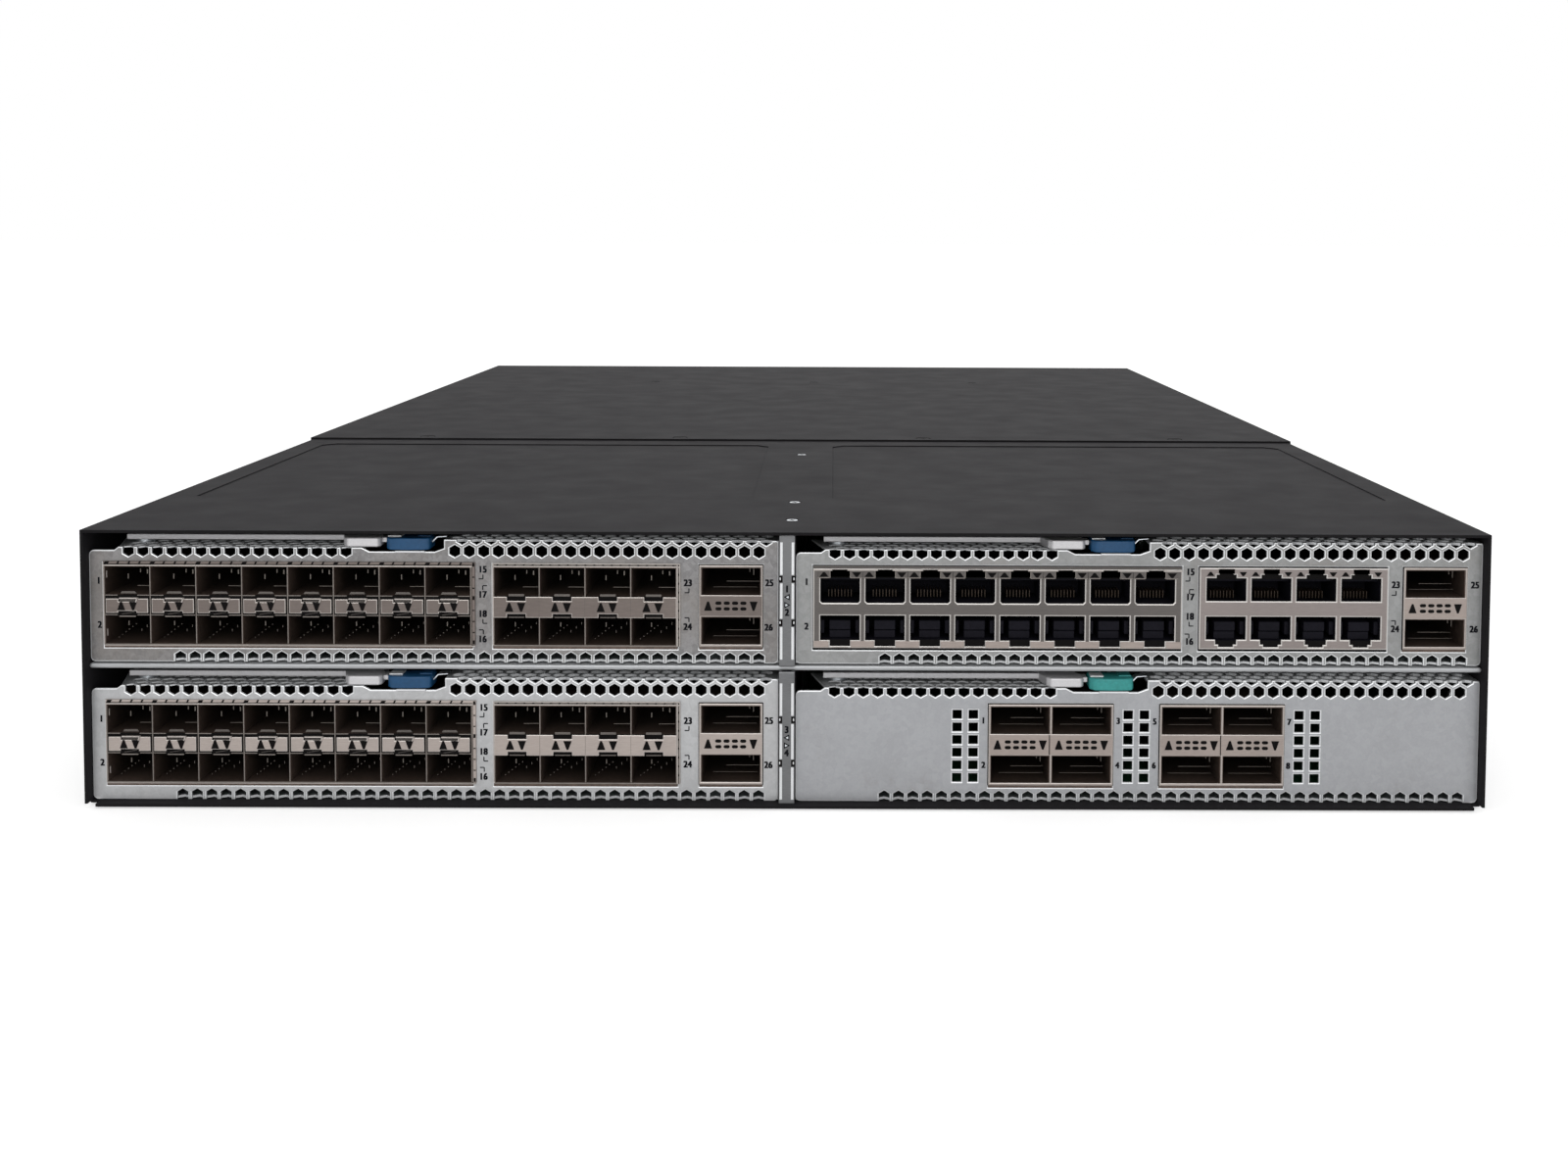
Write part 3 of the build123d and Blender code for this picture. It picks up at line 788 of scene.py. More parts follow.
@dataclass(frozen=True)
class QuadSizes:
    """Sizes of a quad block's sheet. Heights run from the module's base."""

    rows: tuple[Point2, ...] = ((5.9, 14.7), (21.6, 30.3))
    windows: tuple[Point2, ...] = ((6.15, 15.0), (21.75, 30.6))
    window_half: float = 9.4
    sheet: Point2 = (5.45, 31.15)
    sheet_depth: Point2 = (-0.75, -0.2)
    overlap: float = 0.05
    slot_places: tuple[float, ...] = (-3.9, -1.3, 1.3, 3.9)
    slot_heights: Point2 = (17.5, 19.3)
    slot_half: float = 0.48
    slot_radius: float = 0.52
    slot_depth: Point2 = (-0.83, -0.7)
    seam_depth: Point2 = (-0.16, -0.1)
    light_height: float = 18.35
    light_half: float = 7.125
    light_front: float = -0.78
    light_size: Point2 = (2.5, 2.9)


@dataclass(frozen=True)
class Block:
    """A block of stacked ports: left edge, columns, their pitch and the metal beyond them."""

    first: float
    columns: int
    pitch: float
    side: float = 0.25

    @property
    def last(self) -> float:
        """Right edge of its outer wall."""
        return self.first + self.columns * self.pitch + 2 * self.side

    @property
    def centres(self) -> list[float]:
        """Middles of its columns, from the module's left edge."""
        return [self.first + self.side + self.pitch * (i + 0.5) for i in range(self.columns)]


CHASSIS = ChassisSizes()
MODULE = ModuleSizes()
LEVER = LeverSizes()
SCREW = ScrewSizes()
COLUMN_MARKS = ColumnSizes()
QUAD = QuadSizes()
JACK_ROWS = ((7.9, 15.8), (19.5, 27.4))
BAND_DEPTH = (-0.95, -0.4)
LINE_DEPTH = (-0.6, -0.3)
FRAME_DEPTH = (-0.6, -0.05)
CONTACT_PITCH = 1.02


class Chassis:
    """Covers, shelf, columns and the rear bays."""

    body = "chassis"
    coats = {
        "base_pan": CHARCOAL,
        "front_cover": CHARCOAL,
        "rear_cover": CHARCOAL,
        "slot_shelf": SHELF,
        "upper_column": COLUMN,
        "lower_column": COLUMN,
        "rear_bay_frame": CASE,
        "backplane": BOARD,
        "backplane_sockets": BLACK,
        "management_panel": CASE,
        "management_jacks": BLACK,
    }
    edges = (
        ("base_pan", 0.3, 2),
        ("front_cover", 0.35, 3),
        ("rear_cover", 0.35, 3),
        ("slot_shelf", 0.68, 4),
        ("upper_column", 0.42, 3),
        ("lower_column", 0.42, 3),
        ("rear_bay_frame", 0.2, 2),
        ("management_panel", 0.2, 2),
    )

    def build(self) -> None:
        """Dresses the fixed part of the switch."""
        for node, finish in self.coats.items():
            coat_cad(node, finish)
        self._sink_screws()
        for node, width, segments in self.edges:
            round_cad(node, width, segments)
        self._label_columns()
        self._line_management_ports()

    def _sink_screws(self) -> None:
        """Cuts the covers' screw seats and sets the screws in them."""
        s = SCREW
        hem = [(x, CHASSIS.cover_edge + 6.0) for x in (-169.0, -55.0, 55.0, 169.0)]
        field = [(-97.0, 204.0), (2.0, 204.0), (101.0, 204.0)]
        spine = [(1.0, -306.0), (1.0, -269.0), (1.0, -141.0)]
        for node, top, places, radius in (
            ("rear_cover", CHASSIS.rear_top, hem, 3.4),
            ("rear_cover", CHASSIS.rear_top, field, 2.6),
            ("front_cover", CHASSIS.front_top, spine, 2.2),
        ):
            seats, heads, slots = Form(), Form(), Form()
            for x, y in places:
                seats.rod(x, y, radius, *moved(s.seat, top), level, s.sides)
                heads.rod(x, y, radius - s.gap, *moved(s.head, top), level, s.sides)
                for turn in s.slot_turns:
                    bar = self._bar(x, y, radius * s.slot_share, s.slot_width, turn)
                    slots.prism(bar, *moved(s.slot, top), level)
            label = f"{node}_{round(radius * 10)}"
            cutter = seats.make(f"screw_seats_{label}", CHARCOAL, self.body)
            cutter.hide_render = True
            cutter.hide_viewport = True
            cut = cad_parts[node].modifiers.new("seats", "BOOLEAN")
            cut.object = cutter
            cut.operation = "DIFFERENCE"
            metal = ZINC if node == "front_cover" else CHARCOAL
            heads.make(f"screw_heads_{label}", metal, self.body, 0.12)
            # Dark bars on the heads: painted shade of the screw slots.
            slots.make(f"screw_slots_{label}", BLACK_AND_SHADE, self.body)

    @staticmethod
    def _bar(x: float, y: float, length: float, width: float, turn: float) -> list[Point2]:
        """Corners of a bar turned about its middle."""
        c, s = math.cos(math.radians(turn)), math.sin(math.radians(turn))
        corners = rectangle((-length / 2, length / 2), (-width / 2, width / 2))
        return [(x + u * c - v * s, y + u * s + v * c) for u, v in corners]

    def _label_columns(self) -> None:
        """Prints the slot numbers and pointers on the columns and adds pale strips on their folds,
        painted highlights.
        """
        face, s = CHASSIS.column_face, COLUMN_MARKS
        for name, numbers, middle in (("upper", "12", 65.5), ("lower", "34", 21.0)):
            for text, height in zip(numbers, (middle + s.number_rise, middle - s.number_rise)):
                label = f"slot_number_{text}"
                lettering(label, text, 0.0, height, s.number_size, face, self.body)
            marks, hollows = Form(), Form()
            for h, side in ((middle + s.pointer_rise, -1), (middle - s.pointer_rise, 1)):
                outer = [(side * 1.05, h), (-side * 0.85, h + 1.05), (-side * 0.85, h - 1.05)]
                inner = [(side * 0.30, h), (-side * 0.48, h + 0.42), (-side * 0.48, h - 0.42)]
                marks.prism(outer, face - 0.05, face)
                hollows.prism(inner, face - 0.08, face - 0.05)
            marks.make(f"{name}_column_pointers", INK, self.body)
            hollows.make(f"{name}_column_pointer_hollows", ZINC, self.body)
            # Pale strips along the column's folds: painted highlights on real folds.
            bend_highlights, notches, tabs = Form(), Form(), Form()
            for side in (-1, 1):
                x = span(side * s.bend_place, s.bend_half)
                for bend in s.bend_highlights:
                    bend_highlights.box(x, (face - 0.12, face + 0.3), moved(bend, middle))
            for height in (middle + s.notch_rise, middle - s.notch_rise):
                for side in (-1, 1):
                    x = span(side * s.notch_place, s.notch_half[0])
                    notches.box(x, (face - 0.06, face + 0.5), span(height, s.notch_half[1]))
                    x = span(side * s.tab_place, s.tab_half)
                    tabs.box(x, (face - 0.3, face + 0.4), (height - 0.3, height + 0.55))
            bend_highlights.make(f"{name}_column_bend_highlights", RIM, self.body, 0.1)
            # Dark boxes in the notches: painted shade of the openings.
            notches.make(f"{name}_column_notches", BLACK_AND_SHADE, self.body, 0.05)
            tabs.make(f"{name}_column_tabs", RIM, self.body, 0.12)

    def _line_management_ports(self) -> None:
        """Adds the contacts in the two management jacks."""
        contacts = Form()
        low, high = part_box("management_jacks")
        middle = (low.x + high.x) / 2 / MM
        depth = (CHASSIS.bay_face - 9.0, CHASSIS.bay_face - 2.4)
        for side in (-9.0, 9.0):
            for i in range(8):
                contacts.box(
                    span(middle + side + (i - 3.5) * CONTACT_PITCH, 0.2), depth, (47.0, 47.4)
                )
        contacts.make("management_contacts", GOLD, self.body)


class PortModule:
    """One sliding module: faceplate, tray, cages, lever and latch button.

    Attributes:
        finish: Surface of the faceplate.
        stamping: Surface of the sheets between the ports.
        button_finish: Surface of the latch button.
        button_slot: The record's material slot of the latch button.
        blocks: The blocks of ports, from the left.
        numbers: Printed port numbers, with where their middles are.
        number_size: Height of the printed numbers.
        brackets: Printed corner marks: place, and which way their arms point.
    """

    finish = PLATE_MID
    stamping = WARM
    button_finish = BLUE
    button_slot = "blue_plastic"
    blocks: tuple[Block, ...] = ()
    numbers: tuple[tuple[str, float, float], ...] = ()
    number_size = 2.15
    brackets: tuple[tuple[float, float, int, int], ...] = ()

    def __init__(self, number: int, left: float, base: float) -> None:
        self.number = number
        self.body = f"module_{number}"
        self.left = left
        self.base = base

    def at(self, corners: Iterable[Point2]) -> list[Point2]:
        """Moves corners from the module's own front plane to the frame."""
        return [(self.left + u, self.base + v) for u, v in corners]

    def deep(self, corners: Iterable[Point2]) -> list[Point2]:
        """Moves corners from the module's own level plane to the frame."""
        return [(self.left + u, MODULE.face + v) for u, v in corners]

    def build(self) -> None:
        """Builds and dresses the whole module."""
        self._faceplate()
        self._flanges()
        self._tray()
        self._boards()
        self._lever()
        self._button()
        self._cages()
        self._labels()

    def _boxes(
        self,
        name: str,
        boxes: Iterable[Box3],
        finish: Finish,
        bevel: float = 0.12,
        slot: str | None = None,
        segments: int = 2,
        part: str = "",
    ) -> None:
        """Adds a piece of boxes given from the module's own left edge, face and base.

        Args:
            name: What the piece is, after the module's name.
            boxes: Spans along X, Y and Z of each box.
            finish: Its surface.
            bevel: Width of the rounded edges.
            slot: The record's material slot.
            segments: Facets of each rounded edge.
            part: End of the body's name where the piece rides on the lever or latch.
        """
        form = Form()
        for x, y, z in boxes:
            form.box(moved(x, self.left), moved(y, MODULE.face), moved(z, self.base))
        form.make(f"{self.body}_{name}", finish, self.body + part, bevel, segments, slot)

    def _prisms(
        self,
        name: str,
        solids: Iterable[tuple[Sequence[Point2], Point2]],
        finish: Finish,
        bevel: float = 0.0,
        slot: str | None = None,
        part: str = "",
    ) -> None:
        """Adds a piece of flat solids, each given by its corners and its span in depth."""
        form = Form()
        for corners, depth in solids:
            form.prism(self.at(corners), *moved(depth, MODULE.face))
        form.make(f"{self.body}_{name}", finish, self.body + part, bevel, 2, slot)

    def _stamp(
        self,
        name: str,
        corners: Iterable[Point2],
        holes: Iterable[Iterable[Point2]] = (),
        depth: Point2 = BAND_DEPTH,
        finish: Finish | None = None,
        edge: Finish = WARM_EDGE,
        rim: float = 0.2,
    ) -> None:
        """Adds a stamped sheet of a cage, in the module's own stamping if not told otherwise."""
        cut_sheet(
            f"{self.body}_{name}",
            self.at(corners),
            [self.at(hole) for hole in holes],
            moved(depth, MODULE.face),
            finish or self.stamping,
            self.body,
            rim,
            edge=edge,
        )

    # Faceplate and tray

    def _outline(self) -> list[Point2]:
        """Outline of the faceplate with the notches along its edges."""
        m = MODULE
        points = arc(m.corner, m.corner, m.corner, 180, 270)
        for x in m.bottom_row():
            points += m.notch(x, 0.0, 2.35, 3.4)
        points += arc(m.width - m.corner, m.corner, m.corner, 270, 360)
        points += arc(m.width - m.top_corner, m.height - m.top_corner, m.top_corner, 0, 90)
        for x in reversed(m.high_row(0.5)):
            points += reversed(m.notch(x, m.height, 38.2, 37.2))
        riser = m.shoulder_width + m.riser
        step = m.shoulder_height - 0.2
        points += [(riser, m.height), (riser, m.shoulder_height + 0.9)]
        points += [(m.shoulder_width - 0.4, step), (m.strip[1] + 2.4, step)]
        points.append((m.strip[1], m.strip_height))
        for x in reversed(m.low_row()):
            points += reversed(m.notch(x, m.strip_height, 34.15, 33.15))
        points += [(m.strip[0], m.strip_height), (m.strip[0] - 1.4, m.shoulder_height)]
        points += arc(m.corner, m.shoulder_height - m.corner, m.corner, 90, 180)
        return points

    def _holes(self) -> list[list[Point2]]:
        """Whole hexagons, port windows and vents."""
        m = MODULE
        holes = [m.hexagon(x, m.full_height) for x in m.high_row()]
        for block in self.blocks:
            holes.append(rectangle((block.first - m.window_gap, block.last + m.window_gap), m.cage))
        return holes + self._vents()

    def _vents(self) -> list[list[Point2]]:
        """Square vents beside the cages, where the module has them."""
        return []

    def _faceplate(self) -> None:
        """Cuts the faceplate that stands for the CAD one."""
        plate = cut_sheet(
            f"{self.body}_face",
            self.at(self._outline()),
            [self.at(hole) for hole in self._holes()],
            (MODULE.face, MODULE.face + MODULE.sheet),
            self.finish,
            self.body,
        )
        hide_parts(f"{self.body}_faceplate")

    def _flanges(self) -> None:
        """Cuts the honeycombed flanges behind the top edges."""
        m = MODULE
        start = m.flange_start
        high, low = [], []
        for row in range(1, 5):
            odd = row % 2 == 1
            high += [m.hexagon(x, m.hex_row * row + 0.4) for x in m.high_row(0.0 if odd else 0.5)]
            low += [m.hexagon(x, m.hex_row * row - 0.95) for x in m.low_row(0.5 if odd else 0.0)]
        riser = m.shoulder_width + m.riser
        edge = [(m.width, start), (m.width, m.flange), (riser, m.flange), (riser, start)]
        for x in m.high_row(0.5):
            edge += m.notch(x, start, 1.4, 2.4)
        self._flange("high_flange", edge, high, m.height, 0.98, 0.25)
        edge = [(m.strip[1], start), (m.strip[1], m.flange), (4.5, m.flange), (m.strip[0], start)]
        for x in m.low_row():
            edge += m.notch(x, start, 1.4, 2.4)
        self._flange("low_flange", edge, low, m.strip_height, 0.5, 0.2)
        # A dark sheet under the low flange: painted shade that shows through its holes.
        shade_sheet = (
            (m.strip[0] + 0.6, m.strip[1] - 0.6),
            (2.6, m.flange - 0.4),
            (m.strip_height - 0.62, m.strip_height - 0.52),
        )
        self._boxes("low_flange_shade_sheet", [shade_sheet], FLANGE_SHADE, 0.0)

    def _flange(
        self,
        name: str,
        edge: Sequence[Point2],
        holes: Iterable[Sequence[Point2]],
        height: float,
        sheet: float,
        rim: float,
    ) -> None:
        """Cuts one flange just below a top edge of the faceplate."""
        top = self.base + height - 0.01
        cut_sheet(
            f"{self.body}_{name}",
            self.deep(edge),
            [self.deep(hole) for hole in holes],
            (top - sheet, top),
            FLANGE,
            self.body,
            rim,
            level,
            FLANGE_EDGE,
        )

    def _tray(self) -> None:
        """Builds the tray, whose floor carries the far half of each bottom hole."""
        m = MODULE
        floor = [(m.width, m.sheet), (m.width, m.length), (0.0, m.length), (0.0, m.sheet)]
        for x in m.bottom_row():
            floor += [(x - m.hex_half, m.sheet), (x, 2.1), (x + m.hex_half, m.sheet)]
        tray = cut_sheet(
            f"{self.body}_floor",
            self.deep(floor),
            [],
            (self.base, self.base + m.tray_sheet),
            ZINC,
            self.body,
            0.2,
            level,
        )
        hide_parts(f"{self.body}_tray")
        walls = [
            ((x, x + m.tray_sheet), (m.sheet, m.length), (0.4, 12.0))
            for x in (0.0, m.width - m.tray_sheet)
        ]
        walls += [
            (span(x, 3.0), (20.0, m.length - 20.0), (0.7, 2.9)) for x in (20.0, m.width - 20.0)
        ]
        self._boxes("tray_walls", walls, ZINC, 0.2, "bare_steel")

    def _boards(self) -> None:
        """Coats the board and cuts the fins of its heat sink."""
        coat_cad(f"{self.body}_board", BOARD)
        places = [MODULE.width / 2 + 3.9 * (i - 7) for i in range(15)]
        self._boxes(
            "sink_fins", [(span(x, 0.7), (125.8, 186.2), (8.0, 21.0)) for x in places], CASE, 0.15
        )

    # Lever and button

    def _lever(self) -> None:
        """Builds the cast lever: arm, grip with rounded ends, neck and rivet."""
        s = LEVER
        left, right = s.grip
        near, far = s.grip_depth
        reach = right + s.grip_reach
        plan = [(left + 1.6, near), (reach - 1.0, near), (reach, near + 1.2), (reach, 6.0)]
        plan += [(right, 8.0), (right, far), (left - 3.5, far), (left - 1.2, 6.5)]
        plan += [(left, 3.0), (left, near + 1.6)]
        grip = Form().prism(self.deep(plan), *moved(s.grip_height, self.base), level)
        piece = grip.make(f"{self.body}_grip", CAST, f"{self.body}_lever", 0.55, 4, "cast_silver")
        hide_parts(f"{self.body}_lever")
        near = s.arm_depth[0]
        rib = (s.arm, (near - 0.01, near + 1.2), (s.arm_base + 0.7, s.arm_top + 0.35))
        arm = [(s.arm, s.arm_depth, (s.arm_base, s.arm_top)), rib]
        self._boxes("arm", arm, CAST, 0.3, "cast_silver", 3, "_lever")
        neck = [(s.neck, s.neck_depth, s.neck_height)]
        self._boxes("neck", neck, CAST, 0.18, "cast_silver", 2, "_lever")
        x, y = self.left + s.pivot[0], MODULE.face + s.pivot[1]
        base, top = self.base + s.arm_base, self.base + s.arm_top
        rivet = Form().rod(x, y, 2.9, base - 1.9, base - 0.02, level)
        rivet.rod(x, y, 2.0, base - 0.5, top + 0.01, level)
        rivet.make(f"{self.body}_rivet", ZINC, self.body, 0.15)

    def _button(self) -> None:
        """Builds the moulded latch button with its bowed front, ledge, tab and spring."""
        s = LEVER
        left, right = s.button
        near, far = s.button_depth
        top = s.button_height[1]
        plan = [(left + 1.0, near + s.bow)]
        for i in range(s.bow_steps + 1):
            t = i / s.bow_steps
            swell = s.bow * (1 - math.sin(math.pi * (0.12 + 0.76 * t))) * 0.7
            plan.append((left + 1.6 + (right - left - 3.0) * t, near + swell))
        plan += [(right - 0.4, near + s.bow), (right, near + 2.0), (right, far)]
        plan += [(left, far), (left, near + 2.0)]
        heights = moved((s.button_height[0] + 0.05, top - 0.35), self.base)
        name, body = f"{self.body}_button", f"{self.body}_latch"
        button = Form().prism(self.deep(plan), *heights, level)
        piece = button.make(name, self.button_finish, body, 0.5, 4, self.button_slot)
        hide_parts(f"{self.body}_latch")
        rises = [
            (x, (3.0, far), (top - 0.8, top))
            for x in ((left + 0.3, left + 4.2), (right - 4.4, right - 0.3))
        ]
        self._boxes("button_rises", rises, self.button_finish, 0.3, segments=3, part="_latch")
        self._boxes("ledge", [((95.4, 104.8), (-0.5, 0.6), (34.75, 35.35))], RIM, 0.25, segments=3)
        tab = ((left + 0.4, left + 4.6), (1.6, 6.0), (top - 0.3, top + 0.15))
        self._boxes("button_tab", [tab], RIM, part="_latch")
        profile = [(right, 37.3), (right + 1.6, 38.95), (right + 4.6, 39.2)]
        profile += [(right + 4.6, 39.5), (right + 1.4, 39.3), (right - 0.3, 37.6)]
        self._prisms("spring", [(profile, (3.2, 7.0))], ZINC, 0.08, part="_latch")

    # Ports

    def _cages(self) -> None:
        """Coats and dresses the cages."""
        raise NotImplementedError

    def _labels(self) -> None:
        """Prints the port numbers and the corner marks beside them."""
        for text, x, h in self.numbers:
            x, h = self.left + x, self.base + h
            name = f"{self.body}_number_{text}"
            lettering(name, text, x, h, self.number_size, MODULE.face, self.body)
        if self.brackets:
            arms, depth = [], (-0.05, 0.0)
            for x, h, right, up in self.brackets:
                arms.append((tuple(sorted((x, x + 1.35 * right))), depth, span(h, 0.17)))
                arms.append((span(x, 0.17), depth, tuple(sorted((h, h + 1.35 * up)))))
            self._boxes("number_brackets", arms, INK, 0.0)

    def _pointers(
        self, name: str, places: Iterable[tuple[float, float]], half: float, y: float, size: Point2
    ) -> None:
        """Adds pairs of dark triangular light windows.

        Args:
            name: What the piece is, after the module's name.
            places: Middle of each pair, where the left one points up and the right one down.
            half: Half the distance between the two.
            y: Where their front is.
            size: Width and height of each.
        """
        solids = []
        for x, h in places:
            for side, up in ((-half, True), (half, False)):
                solids.append((triangle(x + side, h, *size, up), (y - 0.05, y)))
        self._prisms(name, solids, BLACK_AND_SHADE)

    def _quad_block(self, name: str, block: Block) -> None:
        """Dresses stacked quad cages: one bright-edged sheet, slots, pointers and springs."""
        q = QUAD
        left, right = block.first - q.overlap, block.last + q.overlap
        cells, slots, inner = [], [], []
        for c in block.centres:
            cells += [rectangle(span(c, q.window_half), height) for height in q.windows]
            for place in q.slot_places:
                for h in q.slot_heights:
                    ends = arc(c + place + q.slot_half, h, q.slot_radius, -90, 90, 4)
                    ends += arc(c + place - q.slot_half, h, q.slot_radius, 90, 270, 4)
                    slots.append((ends, q.slot_depth))
            for low, high in q.rows:
                inner.append(((c - 2.0, c + 8.5), (9.0, 9.3), (low + 2.6, low + 2.75)))
                inner.append(((c - 6.0, c + 8.0), (6.0, 6.2), (low + 1.4, low + 1.5)))
                for i in range(2):
                    x = c + 5.6 + 1.2 * i
                    inner.append(((x, x + 0.2), (4.0, 4.3), (high - 2.0 - i, high - 0.6)))
        self._stamp(f"{name}_sheet", rectangle((left, right), q.sheet), cells, q.sheet_depth)
        around = (left - 0.2, right + 0.2)
        seams = [(around, q.seam_depth, z) for z in ((5.2, 5.5), (31.1, 31.4))]
        for x in ((left - 0.25, left + 0.05), (right - 0.05, right + 0.25)):
            seams.append((x, q.seam_depth, (5.2, 31.4)))
        for i in range(1, block.columns):
            x = span(block.first + block.pitch * i - 0.2, 0.15)
            seams.append((x, (-0.8, -0.7), (15.2, 21.6)))
        self._boxes(f"{name}_seams", seams, BLACK_AND_SHADE, 0.0)
        # Dark inserts: painted shade of the slots.
        self._prisms(f"{name}_slots", slots, BLACK_AND_SHADE)
        places = [(c - 0.025, q.light_height) for c in block.centres]
        self._pointers(f"{name}_pointers", places, q.light_half, q.light_front, q.light_size)
        self._boxes(f"{name}_springs", inner, DIM, 0.03)


class SmallPortModule(PortModule):
    """Module with two blocks of small pluggable ports and a quad pair.

    Attributes:
        plate: Stamped plate between two ports, from their column's middle.
        lip: The lip over its upper notch.
        tail: The hook at the lip's right end.
        upper_spring: The spring that shows in the upper port's mouth.
        lower_spring: The one that shows in the lower port's mouth.
        lower_notch: How the joined band steps back under a column.
        upper_notch: The same over a column.
        slant: One gap between the spring fingers over a port.
        wall_slant: The wider one over a wall.
    """

    blocks = (Block(4.5, 8, 14.3), Block(126.0, 4, 14.3), Block(190.6, 1, 19.3))
    plate = (
        (-6.55, 15.6), (-2.8, 15.6), (-2.8, 16.2), (3.0, 16.2), (3.0, 15.6), (6.55, 15.6),
        (6.55, 20.05), (3.1, 20.05), (2.6, 19.1), (-2.7, 19.1), (-2.7, 20.05), (-6.55, 20.05),
    )
    lip = ((-2.3, 20.0), (3.5, 20.0), (3.6, 20.45), (-2.3, 20.45))
    tail = ((2.65, 19.1), (3.05, 18.9), (3.6, 20.45), (3.2, 20.45))
    upper_spring = ((-2.5, 21.4), (2.6, 21.4), (2.1, 22.15), (-2.0, 22.15))
    lower_spring = ((-1.8, 15.05), (2.2, 15.7), (2.2, 15.85), (-1.8, 15.2))
    lower_notch = ((-2.95, 14.5), (-2.95, 15.7), (2.95, 15.7), (2.95, 14.5))
    upper_notch = ((-2.95, 21.05), (-2.95, 19.75), (2.95, 19.75), (2.95, 21.05))
    slant = ((-0.4, 30.9), (0.15, 30.9), (0.6, 31.9), (0.05, 31.9))
    wall_slant = ((-0.1, 30.9), (1.3, 30.9), (1.8, 31.75), (0.4, 31.75))
    numbers = (
        ("1", 2.9, 25.5), ("2", 3.0, 11.55), ("15", 122.8, 29.45), ("17", 122.7, 21.5),
        ("18", 122.7, 15.4), ("16", 122.6, 7.4), ("23", 187.0, 25.4), ("24", 186.9, 11.5),
        ("25", 212.5, 25.5), ("26", 212.3, 11.4),
    )
    brackets = (
        (122.9, 26.55, -1, 1), (122.8, 24.4, 1, -1), (122.8, 12.45, 1, 1),
        (122.9, 10.4, -1, -1), (187.3, 22.4, -1, 1), (187.3, 14.45, -1, -1),
    )

    def _cages(self) -> None:
        """Coats the three cages and dresses their mouths."""
        for node in ("cage_a", "cage_b", "quad_cage"):
            coat_cad(f"{self.body}_{node}", CAGE_SHADE)
        self._separate_bands(self.blocks[0])
        self._joined_band(self.blocks[1])
        for name, block in zip("ab", self.blocks):
            self._mouths(name, block)
        self._fingers(self.blocks[0])
        self._quad_block("quad", self.blocks[2])

    def _mouths(self, name: str, block: Block) -> None:
        """Adds the walls' ends and the small parts that show inside the ports."""
        walls = [block.first + block.pitch * i + 0.25 for i in range(block.columns + 1)]
        edges = [(span(x, 0.17), (-0.6, 0.0), (5.9, 30.3)) for x in walls]
        edges.append(((block.first, block.last), (-0.6, 0.0), (5.35, 5.75)))
        self._boxes(f"{name}_walls", edges, WALL_END, 0.1)
        inner = []
        for c in block.centres:
            inner.append(((c - 1.2, c - 0.9), (3.0, 3.4), (25.6, 27.2)))
            inner.append(((c + 2.3, c + 2.6), (4.0, 4.4), (27.4, 28.6)))
            inner.append(((c + 4.4, c + 4.8), (4.0, 4.4), (27.0, 28.4)))
            inner.append(((c + 1.0, c + 6.6), (5.0, 5.3), (22.9, 23.1)))
            inner.append(((c - 1.2, c - 0.9), (3.0, 3.4), (10.8, 12.2)))
            for i in range(6):
                x, z = c - 4.8 + 1.1 * i, 6.6 + 0.85 * i
                inner.append(((x, x + 0.25), (4.0, 4.3), (z, z + 0.3)))
            for i in range(3):
                x, z = c + 1.6 + 1.7 * i, 8.2 + 1.3 * i
                inner.append(((x, x + 0.2), (6.0, 6.3), (z, z + 0.8)))
        self._boxes(f"{name}_springs", inner, DIM, 0.05)
        # A dark sheet behind the bands: painted shade seen through the gaps between them.
        shade_backing = ((block.first + 0.5, block.last - 0.5), (-0.36, -0.31), (14.5, 21.25))
        self._boxes(f"{name}_backing", [shade_backing], BLACK_AND_SHADE, 0.0)

    def _separate_bands(self, block: Block) -> None:
        """Adds a stamped plate with its lip, tab and light windows between each pair of ports."""
        lines, lips, springs, folds = [], [], [], []
        for number, c in enumerate(block.centres, 1):
            self._stamp(f"band_{number}", across(self.plate, c))
            for z in ((20.95, 21.25), (14.75, 15.05)):
                lines += [((c - 7.0, c - 3.0), LINE_DEPTH, z), ((c + 3.1, c + 6.9), LINE_DEPTH, z)]
            lines.append(((c - 2.5, c + 2.7), (-0.8, -0.3), (14.3, 14.65)))
            lips += [(across(self.lip, c), (-1.3, -0.5)), (across(self.tail, c), (-1.3, -0.7))]
            springs.append((across(self.upper_spring, c), (0.3, 0.8)))
            springs.append((across(self.lower_spring, c), (-0.5, -0.4)))
            folds.append(((c - 2.2, c + 2.6), (-1.0, -0.9), (19.35, 19.6)))
        self._boxes("band_lines", lines, WALL_END, 0.1, "cage_metal")
        self._prisms("band_lips", lips, WARM_EDGE, 0.1, "cage_metal")
        self._prisms("band_springs", springs, WARM_DIM, 0.05)
        self._boxes("band_folds", folds, WARM_DIM, 0.05)
        places = [(c + 0.1, 17.75) for c in block.centres]
        self._pointers("band_pointers", places, 1.85, -0.98, (2.5, 2.7))

